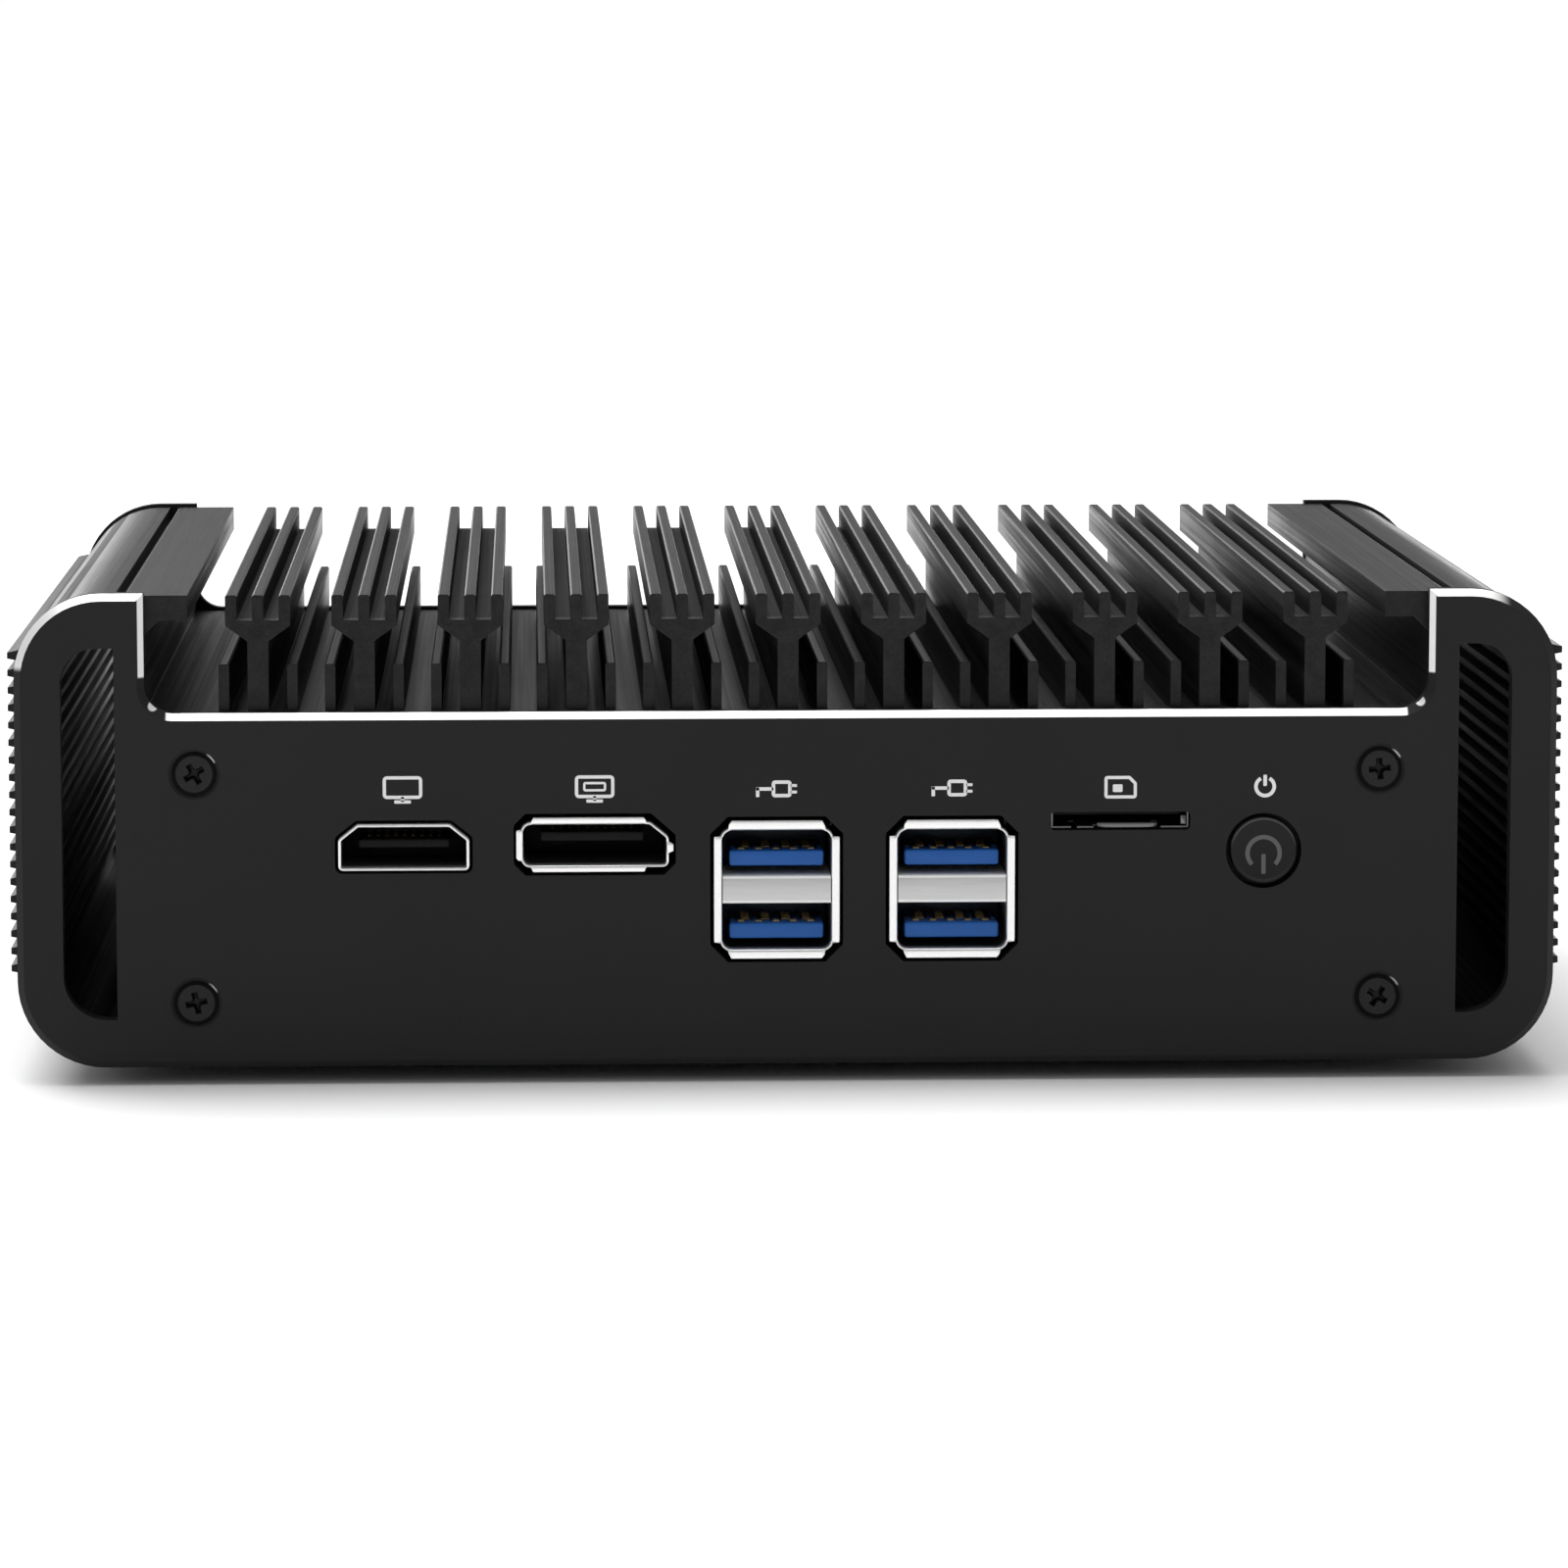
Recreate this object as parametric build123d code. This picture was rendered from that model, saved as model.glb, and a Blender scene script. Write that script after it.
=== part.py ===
from build123d import *

import os

# Fanless mini computer: an extruded heat-sink case with end panels, a board under its fins, and its sockets.
# Millimetres. +Z is up, the front panel faces -Y, and the origin is on the ground, mid-way along both sides.
# Every separate piece is written to parts/NODE.step.

# ---------------------------------------------------------------- driving dimensions
PANEL_WIDTH = 176.4
PANEL_HEIGHT = 54.5
PANEL_THICK = 2.5
CASE_DEPTH = 126.0
FOOT_HEIGHT = 2.0
CORNER_RADIUS = 10.0
EDGE_CHAMFER = 0.8
NOTCH_WIDTH = 146.8
NOTCH_DEPTH = 13.7
NOTCH_FILLET = 3.2
SOCKET_PROUD = 0.4

PANEL_LOW = FOOT_HEIGHT
PANEL_TOP = PANEL_LOW + PANEL_HEIGHT
FRONT_Y = -CASE_DEPTH / 2
BODY_HALF = CASE_DEPTH / 2 - PANEL_THICK
MOUTH_Y = FRONT_Y - SOCKET_PROUD

# extruded case
BODY_INSET = 0.4
BODY_HALF_WIDTH = PANEL_WIDTH / 2 - BODY_INSET
BODY_LOW = PANEL_LOW + BODY_INSET
BODY_TOP = PANEL_TOP - BODY_INSET
BASE_TOP = PANEL_TOP - NOTCH_DEPTH - 0.4
BASE_THICK = 4.4
BASE_UNDER = BASE_TOP - BASE_THICK
DUCT_INNER_X = 76.6
DUCT_OUTER_X = 84.9
DUCT_LOW = 6.9
DUCT_TOP = 51.6
WALL_INNER_X = 74.4
RAIL_INNER_X = 73.6
SHELF_INNER_X = 68.5
SHELF_THICK = 2.9
GROOVE_X = 76.2
GROOVE_WIDTH = 1.2
GROOVE_DEPTH = 1.7
RIB_PITCH = 2.0
RIB_COUNT = 19
RIB_FIRST_Z = 13.3
RIB_PROUD = 1.2
RIB_ROOT = 1.2
RIB_TIP = 0.7
INNER_RIB_PROUD = 1.0
RIB_BURIED = 1.4

# fins
GROUP_COUNT = 11
GROUP_PITCH = 12.1
FIN_THICK = 1.3
FIN_SPACING = 3.05
FIN_SLOT_DEPTH = 2.9
HEAD_HALF = FIN_SPACING + FIN_THICK / 2
HEAD_THICK = 3.5
HEAD_TAPER = 1.8
TRUNK_HALF = 1.2
SIDE_FIN_THICK = 1.2
SIDE_FIN_OFFSET = 3.9
SIDE_FIN_TOP = 48.2
TIP_CHAMFER = 0.18

# ventilation slots in the panels
SLOT_INNER_X = 76.8
SLOT_OUTER_X = 82.9
SLOT_LOW = 7.6
SLOT_TOP = 50.3
SLOT_LOW_RADIUS = 5.0
SLOT_TOP_RADIUS = 4.0

# cover and feet
COVER_THICK = 2.0
COVER_HALF_X = 73.9
COVER_HALF_Y = 59.8
COVER_TOP = BODY_LOW + COVER_THICK
FLANGE_INNER_X = 62.0
FLANGE_TOP = DUCT_LOW
FOOT_RADIUS = 6.5
FOOT_X = 52.0
FOOT_Y = 40.5
MOUNT_PITCH = 75.0

# screws
SCREW_X = 67.8
SCREW_UPPER_Z = 35.9
SCREW_LOWER_Z = 9.5
SCREW_RADIUS = 1.45
PILOT_RADIUS = 1.5
CLEARANCE_RADIUS = 1.7
HEAD_RADIUS = 2.65
HEAD_CONE = 1.2
HEAD_RIM = 0.2
HEAD_SINK = 0.1
SINK_RADIUS = HEAD_RADIUS + HEAD_RIM + HEAD_SINK
SINK_CONE = SINK_RADIUS - CLEARANCE_RADIUS
SCREW_LENGTH = 8.0
COVER_SCREW_Y = 46.0
COVER_SCREW_LENGTH = 7.0
BOSS_HALF = 3.6
BOARD_SCREW_Y = 30.0

# board
BOARD_UNDER = 30.9
BOARD_THICK = 1.6
BOARD_TOP = BOARD_UNDER + BOARD_THICK
BOARD_HALF_X = 72.0
BOARD_HALF_Y = 58.0

# front sockets, by the middle of their mouths
HDMI_X, HDMI_Z = -44.0, 27.4
DP_X, DP_Z = -22.2, 27.6
USB_X = (-1.4, 18.7)
USB_Z = 22.3
SIM_X, SIM_Z = 38.0, 30.0
BUTTON_X, BUTTON_Z = 54.5, 26.5
SOCKET_GAP = 0.35

# rear sockets
LAN_X = (32.5, 14.5, -3.5, -21.5)
LAN_WIDTH, LAN_HEIGHT, LAN_DEPTH = 16.0, 13.4, 21.0
LAN_TOP = BOARD_UNDER - 0.3
DC_X, DC_Z = 54.0, 25.3
DC_WIDTH, DC_HEIGHT, DC_DEPTH = 9.0, 11.0, 14.4
DC_BORE_RADIUS = 3.2
DC_BORE_DEPTH = 10.0
DC_PIN_RADIUS = 1.25
ANTENNA_X = (-44.0, -60.0)
ANTENNA_Z = 22.0
ANTENNA_RADIUS = 3.25

# moving pieces
BUTTON_TRAVEL = 0.8


# ---------------------------------------------------------------- helpers
def block(x0, x1, y0, y1, z0, z1):
    """A box between two corners."""
    return Pos((x0 + x1) / 2, (y0 + y1) / 2, (z0 + z1) / 2) * Box(abs(x1 - x0), abs(y1 - y0), abs(z1 - z0))


def rod_y(x, z, radius, y0, y1):
    """A cylinder along Y."""
    return Pos(x, (y0 + y1) / 2, z) * Rot(90, 0, 0) * Cylinder(radius, abs(y1 - y0))


def rod_z(x, y, radius, z0, z1):
    """A cylinder along Z."""
    return Pos(x, y, (z0 + z1) / 2) * Cylinder(radius, abs(z1 - z0))


def cone_y(x, z, radius_0, radius_1, y0, y1):
    """A cone along Y, radius_0 at y0 and radius_1 at y1, with y0 below y1."""
    return Pos(x, (y0 + y1) / 2, z) * Rot(-90, 0, 0) * Cone(radius_0, radius_1, y1 - y0)


def along_y(profile, y0, y1):
    """Extrudes an XZ profile from y0 to y1."""
    return Pos(0, y1, 0) * extrude(profile, amount=y1 - y0)


def outline(points):
    """A closed XZ face through (x, z) points."""
    return Plane.XZ * make_face(Polyline(*points, close=True))


def rectangle_xz(x0, x1, z0, z1):
    """An XZ rectangle between two corners."""
    return Plane.XZ * Pos((x0 + x1) / 2, (z0 + z1) / 2) * Rectangle(abs(x1 - x0), abs(z1 - z0))


def moved(shape, x, z):
    """A profile moved in the XZ plane."""
    return Pos(x, 0, z) * shape


def both_sides(shape):
    """A shape and its mirror image across X = 0."""
    return shape + mirror(shape, Plane.YZ)


def at_points(make, points):
    """Separate copies of one solid at (x, y) or (x, z) points, as a compound."""
    return Compound(children=[make(*point) for point in points])


def corners(half_a, half_b):
    """The four corners of a rectangle about the origin."""
    return [(a, b) for a in (-half_a, half_a) for b in (-half_b, half_b)]


# ---------------------------------------------------------------- case
def fin_group(x):
    """Profile of one Y-shaped fin: a trunk, a head that carries three fins, and a low fin on each side."""
    tip = BODY_TOP
    floor = tip - FIN_SLOT_DEPTH
    head_low = tip - HEAD_THICK
    neck = head_low - HEAD_TAPER
    root = BASE_TOP - 0.5
    head = outline([
        (x - HEAD_HALF, floor), (x - HEAD_HALF, head_low), (x - TRUNK_HALF, neck), (x - TRUNK_HALF, root),
        (x + TRUNK_HALF, root), (x + TRUNK_HALF, neck), (x + HEAD_HALF, head_low), (x + HEAD_HALF, floor)])
    for step in (-1, 0, 1):
        head += fin(x + step * FIN_SPACING, FIN_THICK, floor - 0.2, tip)
    for side in (-1, 1):
        head += fin(x + side * SIDE_FIN_OFFSET, SIDE_FIN_THICK, root, SIDE_FIN_TOP)
    return head


def fin(x, thick, low, top):
    """Profile of one upright fin whose tip edges are broken."""
    half = thick / 2
    return outline([
        (x - half, low), (x + half, low), (x + half, top - TIP_CHAMFER), (x + half - TIP_CHAMFER, top),
        (x - half + TIP_CHAMFER, top), (x - half, top - TIP_CHAMFER)])


def rib(z, root_x, tip_x):
    """Profile of one side rib: a low tooth from root_x to tip_x."""
    buried = root_x + (RIB_BURIED if tip_x < root_x else -RIB_BURIED)
    return outline([
        (buried, z - RIB_ROOT / 2), (root_x, z - RIB_ROOT / 2), (tip_x, z - RIB_TIP / 2),
        (tip_x, z + RIB_TIP / 2), (root_x, z + RIB_ROOT / 2), (buried, z + RIB_ROOT / 2)])


def heatsink_side():
    """Profile of the right-hand side: air duct with ribs, shelf, groove, screw bosses and cover flange."""
    height = BODY_TOP - BODY_LOW
    radius = CORNER_RADIUS - BODY_INSET
    left = WALL_INNER_X
    shell = rectangle_xz(left - 2 * radius, BODY_HALF_WIDTH, BODY_LOW, BODY_TOP)
    shell = fillet(shell.vertices().sort_by(Axis.X)[-2:], radius)
    shell &= rectangle_xz(left, BODY_HALF_WIDTH + 1, BODY_LOW, BODY_LOW + height)
    duct = rectangle_xz(DUCT_INNER_X, DUCT_OUTER_X, DUCT_LOW, DUCT_TOP)
    duct = fillet(duct.vertices().sort_by(Axis.X)[-2:], 5.5)
    duct = fillet(duct.vertices().sort_by(Axis.X)[:2], 0.8)
    side = shell - duct
    side += rectangle_xz(RAIL_INNER_X, left + 1, BASE_UNDER, BODY_TOP)
    side += rectangle_xz(SHELF_INNER_X, left, BODY_TOP - SHELF_THICK, BODY_TOP)
    side += outline([(RAIL_INNER_X + 0.1, BODY_TOP - SHELF_THICK + 0.1),
                     (RAIL_INNER_X - 2.0, BODY_TOP - SHELF_THICK + 0.1),
                     (RAIL_INNER_X + 0.1, BODY_TOP - SHELF_THICK - 1.9)])
    side -= rectangle_xz(GROOVE_X - GROOVE_WIDTH / 2, GROOVE_X + GROOVE_WIDTH / 2,
                         BODY_TOP - GROOVE_DEPTH, BODY_TOP + 1)
    side += rectangle_xz(SCREW_X - BOSS_HALF, left + 1, BOARD_TOP, BASE_UNDER + 0.5)
    side += rectangle_xz(FLANGE_INNER_X, left + 1, COVER_TOP, FLANGE_TOP)
    side += rectangle_xz(SCREW_X - BOSS_HALF, left + 1, FLANGE_TOP - 0.5, SCREW_LOWER_Z + BOSS_HALF)
    side -= rectangle_xz(0, COVER_HALF_X + 0.15, BODY_LOW - 1, COVER_TOP)
    for i in range(RIB_COUNT):
        z = RIB_FIRST_Z + i * RIB_PITCH
        side += rib(z, BODY_HALF_WIDTH, BODY_HALF_WIDTH + RIB_PROUD)
        side += rib(z, DUCT_OUTER_X, DUCT_OUTER_X - INNER_RIB_PROUD)
    return side


def heatsink_body():
    """The extruded case: base plate, Y fins, ducts and bosses, with its tapped holes."""
    profile = both_sides(heatsink_side())
    profile += rectangle_xz(-WALL_INNER_X - 0.5, WALL_INNER_X + 0.5, BASE_UNDER, BASE_TOP)
    middle = (GROUP_COUNT - 1) / 2
    for i in range(GROUP_COUNT):
        profile += fin_group((i - middle) * GROUP_PITCH)
    body = along_y(profile, -BODY_HALF, BODY_HALF)
    for x in (-SCREW_X, SCREW_X):
        for z in (SCREW_LOWER_Z, SCREW_UPPER_Z):
            for end in (-1, 1):
                body -= rod_y(x, z, PILOT_RADIUS, end * (BODY_HALF + 1), end * (BODY_HALF - 10))
        for y in (-COVER_SCREW_Y, COVER_SCREW_Y):
            body -= rod_z(x, y, PILOT_RADIUS, COVER_TOP - 1, COVER_TOP + 7.5)
        for y in (-BOARD_SCREW_Y, BOARD_SCREW_Y):
            body -= rod_z(x, y, PILOT_RADIUS, BOARD_TOP - 1, BOARD_TOP + 4.6)
    for x, y in corners(HEAT_BLOCK_HALF - 4, HEAT_BLOCK_HALF - 4):
        body -= rod_z(x + CPU_X, y + CPU_Y, PILOT_RADIUS, BASE_UNDER - 1, BASE_UNDER + 3)
    return body


def slot_profile():
    """Profile of the right-hand air slot, round on its outer side."""
    slot = rectangle_xz(SLOT_INNER_X, SLOT_OUTER_X, SLOT_LOW, SLOT_TOP)
    outer = slot.vertices().sort_by(Axis.X)[-2:].sort_by(Axis.Z)
    slot = fillet(outer[0], SLOT_LOW_RADIUS)
    upper = [v for v in slot.vertices() if v.Z > SLOT_TOP - 0.1 and v.X > SLOT_INNER_X + 1]
    return fillet(upper, SLOT_TOP_RADIUS)


def panel_blank():
    """The front plate before its socket openings: notched outline, chamfer, air slots and screw holes."""
    plate = rectangle_xz(-PANEL_WIDTH / 2, PANEL_WIDTH / 2, PANEL_LOW, PANEL_TOP)
    plate = fillet(plate.vertices(), CORNER_RADIUS)
    notch = rectangle_xz(-NOTCH_WIDTH / 2, NOTCH_WIDTH / 2, PANEL_TOP - NOTCH_DEPTH, PANEL_TOP + 20)
    notch = fillet(notch.vertices().sort_by(Axis.Z)[:2], NOTCH_FILLET)
    panel = along_y(plate - notch, FRONT_Y, FRONT_Y + PANEL_THICK)
    front = panel.faces().sort_by(Axis.Y)[0]
    panel = chamfer(front.outer_wire().edges(), EDGE_CHAMFER)
    panel -= both_sides(along_y(slot_profile(), FRONT_Y - 1, FRONT_Y + PANEL_THICK + 1))
    for x in (-SCREW_X, SCREW_X):
        for z in (SCREW_LOWER_Z, SCREW_UPPER_Z):
            panel -= rod_y(x, z, CLEARANCE_RADIUS, FRONT_Y - 1, FRONT_Y + PANEL_THICK + 1)
            panel -= cone_y(x, z, SINK_RADIUS, CLEARANCE_RADIUS, FRONT_Y, FRONT_Y + SINK_CONE)
    return panel


def front_panel():
    """The front plate with an opening round each socket and the button."""
    panel = panel_blank()
    back = FRONT_Y + PANEL_THICK + 1
    for opening in (
            moved(hdmi_profile(SOCKET_GAP), HDMI_X, HDMI_Z),
            moved(dp_mouth_profile(SOCKET_GAP), DP_X, DP_Z),
            moved(usb_mouth_profile(SOCKET_GAP), USB_X[0], USB_Z),
            moved(usb_mouth_profile(SOCKET_GAP), USB_X[1], USB_Z),
            moved(sim_mouth_profile(), SIM_X, SIM_Z)):
        panel -= along_y(opening, FRONT_Y - 1, back)
    panel -= rod_y(BUTTON_X, BUTTON_Z, BUTTON_HOLE_RADIUS, FRONT_Y - 1, back)
    return panel


def rear_panel():
    """The rear plate: the same blank turned round, open for the network jacks, power jack and plugs."""
    panel = mirror(panel_blank(), Plane.XZ)
    low, high = -FRONT_Y - PANEL_THICK - 1, -FRONT_Y + 1
    for x in LAN_X:
        panel -= block(x - LAN_WIDTH / 2 - 0.3, x + LAN_WIDTH / 2 + 0.3, low, high,
                       LAN_TOP - LAN_HEIGHT - 0.3, LAN_TOP + 0.3)
    panel -= rod_y(DC_X, DC_Z, DC_BORE_RADIUS + 0.9, low, high)
    for x in ANTENNA_X:
        panel -= rod_y(x, ANTENNA_Z, ANTENNA_RADIUS, low, high)
    return panel


def bottom_cover():
    """The removable bottom plate, with countersunk screw holes and seats for the clinch nuts."""
    plate = block(-COVER_HALF_X, COVER_HALF_X, -COVER_HALF_Y, COVER_HALF_Y, BODY_LOW, COVER_TOP)
    plate = fillet(plate.edges().filter_by(Axis.Z), 1.0)
    plate = chamfer(plate.faces().sort_by(Axis.Z)[0].outer_wire().edges(), 0.4)
    for x, y in corners(SCREW_X, COVER_SCREW_Y):
        plate -= rod_z(x, y, CLEARANCE_RADIUS, BODY_LOW - 1, COVER_TOP + 1)
        plate -= Pos(x, y, BODY_LOW + SINK_CONE / 2) * Cone(SINK_RADIUS, CLEARANCE_RADIUS, SINK_CONE)
    for x, y in corners(MOUNT_PITCH / 2, MOUNT_PITCH / 2):
        plate -= rod_z(x, y, NUT_SPIGOT_RADIUS, BODY_LOW - 1, COVER_TOP + 1)
    return plate


def foot(x, y):
    """One stick-on rubber foot: a low disc with a rounded rim and a shallow dimple."""
    disc = rod_z(x, y, FOOT_RADIUS, 0, BODY_LOW)
    disc = fillet(disc.edges().sort_by(Axis.Z)[0], 0.7)
    return disc - rod_z(x, y, FOOT_RADIUS - 3.5, -1, 0.5)


NUT_SPIGOT_RADIUS = 2.9
NUT_BORE_RADIUS = 1.65
NUT_FLANGE_RADIUS = 3.9
NUT_FLANGE_THICK = 1.8


def clinch_nut(x, y):
    """One press-in nut: a spigot in the cover and a flange on its inner face, tapped through."""
    nut = rod_z(x, y, NUT_SPIGOT_RADIUS, BODY_LOW, COVER_TOP)
    nut += rod_z(x, y, NUT_FLANGE_RADIUS, COVER_TOP, COVER_TOP + NUT_FLANGE_THICK)
    return nut - rod_z(x, y, NUT_BORE_RADIUS, BODY_LOW - 1, COVER_TOP + NUT_FLANGE_THICK + 1)


# ---------------------------------------------------------------- screws
def cross_recess(depth):
    """A tapered cross-shaped driver recess, opening at Z = 0 and going down."""
    arm = loft([Rectangle(2.6, 0.62), Pos(0, 0, -depth) * Rectangle(1.1, 0.5)])
    core = Pos(0, 0, -depth / 2) * Cylinder(0.62, depth)
    return arm + Rot(0, 0, 90) * arm + core


def countersunk_screw(length):
    """A countersunk screw with its head's face at Z = 0 and its shank going down."""
    screw = Pos(0, 0, -HEAD_RIM / 2) * Cylinder(HEAD_RADIUS, HEAD_RIM)
    screw += Pos(0, 0, -HEAD_RIM - HEAD_CONE / 2) * Cone(SCREW_RADIUS, HEAD_RADIUS, HEAD_CONE)
    screw += Pos(0, 0, -HEAD_RIM - length / 2) * Cylinder(SCREW_RADIUS, length)
    return screw - cross_recess(1.2)


def pan_screw(length, head_radius=2.7, head_height=1.6, radius=SCREW_RADIUS):
    """A pan-head screw with the seat of its head at Z = 0, its head above and its shank below."""
    head = Pos(0, 0, head_height / 2) * Cylinder(head_radius, head_height)
    head = fillet(head.edges().sort_by(Axis.Z)[-1], 0.5)
    screw = head + Pos(0, 0, -length / 2) * Cylinder(radius, length)
    return screw - Pos(0, 0, head_height) * cross_recess(0.9)


def panel_screws(end):
    """Four countersunk screws of the front (end -1) or rear (end 1) panel, sunk just under its face."""
    turn = Rot(90, 0, 0) if end < 0 else Rot(-90, 0, 0)
    face = end * (CASE_DEPTH / 2 - HEAD_SINK)
    screw = countersunk_screw(SCREW_LENGTH)
    return at_points(lambda x, z: Pos(x, face, z) * turn * copy_of(screw),
                     [(x, z) for x in (-SCREW_X, SCREW_X) for z in (SCREW_LOWER_Z, SCREW_UPPER_Z)])


def copy_of(shape):
    """A shape that can be placed again without moving the first."""
    return shape.moved(Location((0, 0, 0)))


def cover_screws():
    """Four countersunk screws that hold the bottom cover, heads down."""
    screw = Rot(180, 0, 0) * countersunk_screw(COVER_SCREW_LENGTH)
    return at_points(lambda x, y: Pos(x, y, BODY_LOW + HEAD_SINK) * copy_of(screw),
                     corners(SCREW_X, COVER_SCREW_Y))


def board_screws():
    """Four pan-head screws that hang the board from the upper bosses, heads down."""
    screw = Rot(180, 0, 0) * pan_screw(5.0)
    return at_points(lambda x, y: Pos(x, y, BOARD_UNDER) * copy_of(screw), corners(SCREW_X, BOARD_SCREW_Y))


# ---------------------------------------------------------------- board and cooling
CPU_X, CPU_Y = 0.0, 2.0
CPU_SIZE = (35.0, 24.0, 1.2)
DIE_SIZE = (13.0, 8.6, 0.6)
PASTE_THICK = 0.2
HEAT_BLOCK_HALF = 21.0


def motherboard():
    """The board, drilled for its screws."""
    board = block(-BOARD_HALF_X, BOARD_HALF_X, -BOARD_HALF_Y, BOARD_HALF_Y, BOARD_UNDER, BOARD_TOP)
    board = fillet(board.edges().filter_by(Axis.Z), 2.0)
    for x, y in corners(SCREW_X, BOARD_SCREW_Y):
        board -= rod_z(x, y, 1.7, BOARD_UNDER - 1, BOARD_TOP + 1)
    return board


def centred(x, y, size, z0):
    """A box of a size standing on z0 at x, y."""
    return block(x - size[0] / 2, x + size[0] / 2, y - size[1] / 2, y + size[1] / 2, z0, z0 + size[2])


def heat_block():
    """The copper block between the processor and the fins, countersunk for its screws."""
    low = BOARD_TOP + CPU_SIZE[2] + DIE_SIZE[2] + PASTE_THICK
    copper = block(CPU_X - HEAT_BLOCK_HALF, CPU_X + HEAT_BLOCK_HALF, CPU_Y - HEAT_BLOCK_HALF,
                   CPU_Y + HEAT_BLOCK_HALF, low, BASE_UNDER)
    copper = chamfer(copper.faces().sort_by(Axis.Z)[0].outer_wire().edges(), 0.5)
    for x, y in corners(HEAT_BLOCK_HALF - 4, HEAT_BLOCK_HALF - 4):
        copper -= rod_z(x + CPU_X, y + CPU_Y, CLEARANCE_RADIUS, low - 1, BASE_UNDER + 1)
        sink = Cone(SINK_RADIUS, CLEARANCE_RADIUS, SINK_CONE)
        copper -= Pos(x + CPU_X, y + CPU_Y, low + SINK_CONE / 2) * sink
    return copper


def heat_block_screws():
    """Four countersunk screws that hold the copper block under the fins."""
    low = BOARD_TOP + CPU_SIZE[2] + DIE_SIZE[2] + PASTE_THICK
    screw = Rot(180, 0, 0) * countersunk_screw(4.6)
    return at_points(lambda x, y: Pos(x + CPU_X, y + CPU_Y, low + HEAD_SINK) * copy_of(screw),
                     corners(HEAT_BLOCK_HALF - 4, HEAT_BLOCK_HALF - 4))


def on_board(points, size, above=True):
    """Equal boxes on the upper or lower face of the board."""
    z0 = BOARD_TOP if above else BOARD_UNDER - size[2]
    return at_points(lambda x, y: chamfer(centred(x, y, size, z0).edges().filter_by(Axis.Z), 0.3), points)


def capacitors():
    """Round polymer capacitors on the upper face, each a can on its square foot."""
    def can(x, y):
        foot_plate = centred(x, y, (5.4, 5.4, 0.6), BOARD_TOP)
        body = rod_z(x, y, 2.5, BOARD_TOP + 0.6, BOARD_TOP + 4.8)
        return foot_plate + fillet(body.edges().sort_by(Axis.Z)[-1], 0.4)
    return at_points(can, [(36.0 + 7.0 * i, -42.0) for i in range(4)] + [(-40.0, -44.0), (-33.0, -44.0)])


# ---------------------------------------------------------------- front sockets
def hdmi_profile(grow=0.0):
    """Outline of the first video socket, wide side down, grown outwards by grow."""
    half, flank, top = 7.5, 5.3, 2.7
    face = outline([(-half, -top), (half, -top), (half, 0.95), (flank, top), (-flank, top), (-half, 0.95)])
    face = fillet(face.vertices(), 0.5)
    return offset(face, grow) if grow else face


def hdmi_shell():
    """The folded steel shell of the first video socket, open at its mouth and closed by its insert."""
    tube = along_y(moved(hdmi_profile() - hdmi_profile(-0.45), HDMI_X, HDMI_Z), MOUTH_Y, MOUTH_Y + 11.4)
    legs = [block(x - 0.9, x + 0.9, MOUTH_Y + y, MOUTH_Y + y + 1.6, HDMI_Z + 2.6, BOARD_UNDER)
            for x in (HDMI_X - 4.2, HDMI_X + 4.2) for y in (5.0, 9.4)]
    for leg in legs:
        tube += leg
    return tube


def hdmi_insert():
    """The black insert: a back wall and the contact tongue."""
    back = along_y(moved(hdmi_profile(-0.45), HDMI_X, HDMI_Z), MOUTH_Y + 9.0, MOUTH_Y + 11.4)
    tongue = block(HDMI_X - 5.2, HDMI_X + 5.2, MOUTH_Y + 2.0, MOUTH_Y + 9.2, HDMI_Z - 0.3, HDMI_Z + 0.7)
    return back + tongue


def dp_profile(grow=0.0):
    """Outline of the second video socket, keyed at its upper right corner."""
    half, high = 8.45, 2.6
    face = outline([(-half, -high), (half, -high), (half, 0.9), (half - 2.1, high), (-half, high)])
    face = fillet(face.vertices(), 0.45)
    return offset(face, grow) if grow else face


def dp_mouth_profile(grow=0.0):
    """Outline of the flared mouth of the second video socket."""
    half, high, cut = 8.9, 3.2, 1.1
    face = outline([(-half, -high + cut), (-half + cut, -high), (half - cut, -high), (half, -high + cut),
                    (half, 0.9), (half - 2.6, high), (-half + cut, high), (-half, high - cut)])
    return offset(face, grow) if grow else face


def dp_shell():
    """The steel shell of the second video socket, with its flared lips and feet."""
    shell = along_y(moved(dp_profile() - dp_profile(-0.4), DP_X, DP_Z), MOUTH_Y, MOUTH_Y + 12.4)
    lips = [(-6.9, 6.4, 2.4, 3.2), (-6.9, 6.4, -3.2, -2.4), (-8.9, -8.2, -2.1, 2.1), (8.2, 8.8, -0.9, 0.2)]
    for x0, x1, z0, z1 in lips:
        shell += block(DP_X + x0, DP_X + x1, MOUTH_Y, MOUTH_Y + 0.45, DP_Z + z0, DP_Z + z1)
    shell -= along_y(moved(dp_profile(-0.4), DP_X, DP_Z), MOUTH_Y - 1, MOUTH_Y + 1)
    for x in (-5.0, 4.0):
        shell += block(DP_X + x, DP_X + x + 1.8, MOUTH_Y + 6.0, MOUTH_Y + 7.6, DP_Z + 2.5, BOARD_UNDER)
    return shell


def dp_insert():
    """The black insert of the second video socket: a back wall and its tongue."""
    back = along_y(moved(dp_profile(-0.4), DP_X, DP_Z), MOUTH_Y + 10.0, MOUTH_Y + 12.4)
    return back + block(DP_X - 6.2, DP_X + 5.6, MOUTH_Y + 1.8, MOUTH_Y + 10.2, DP_Z + 0.2, DP_Z + 1.3)


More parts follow.
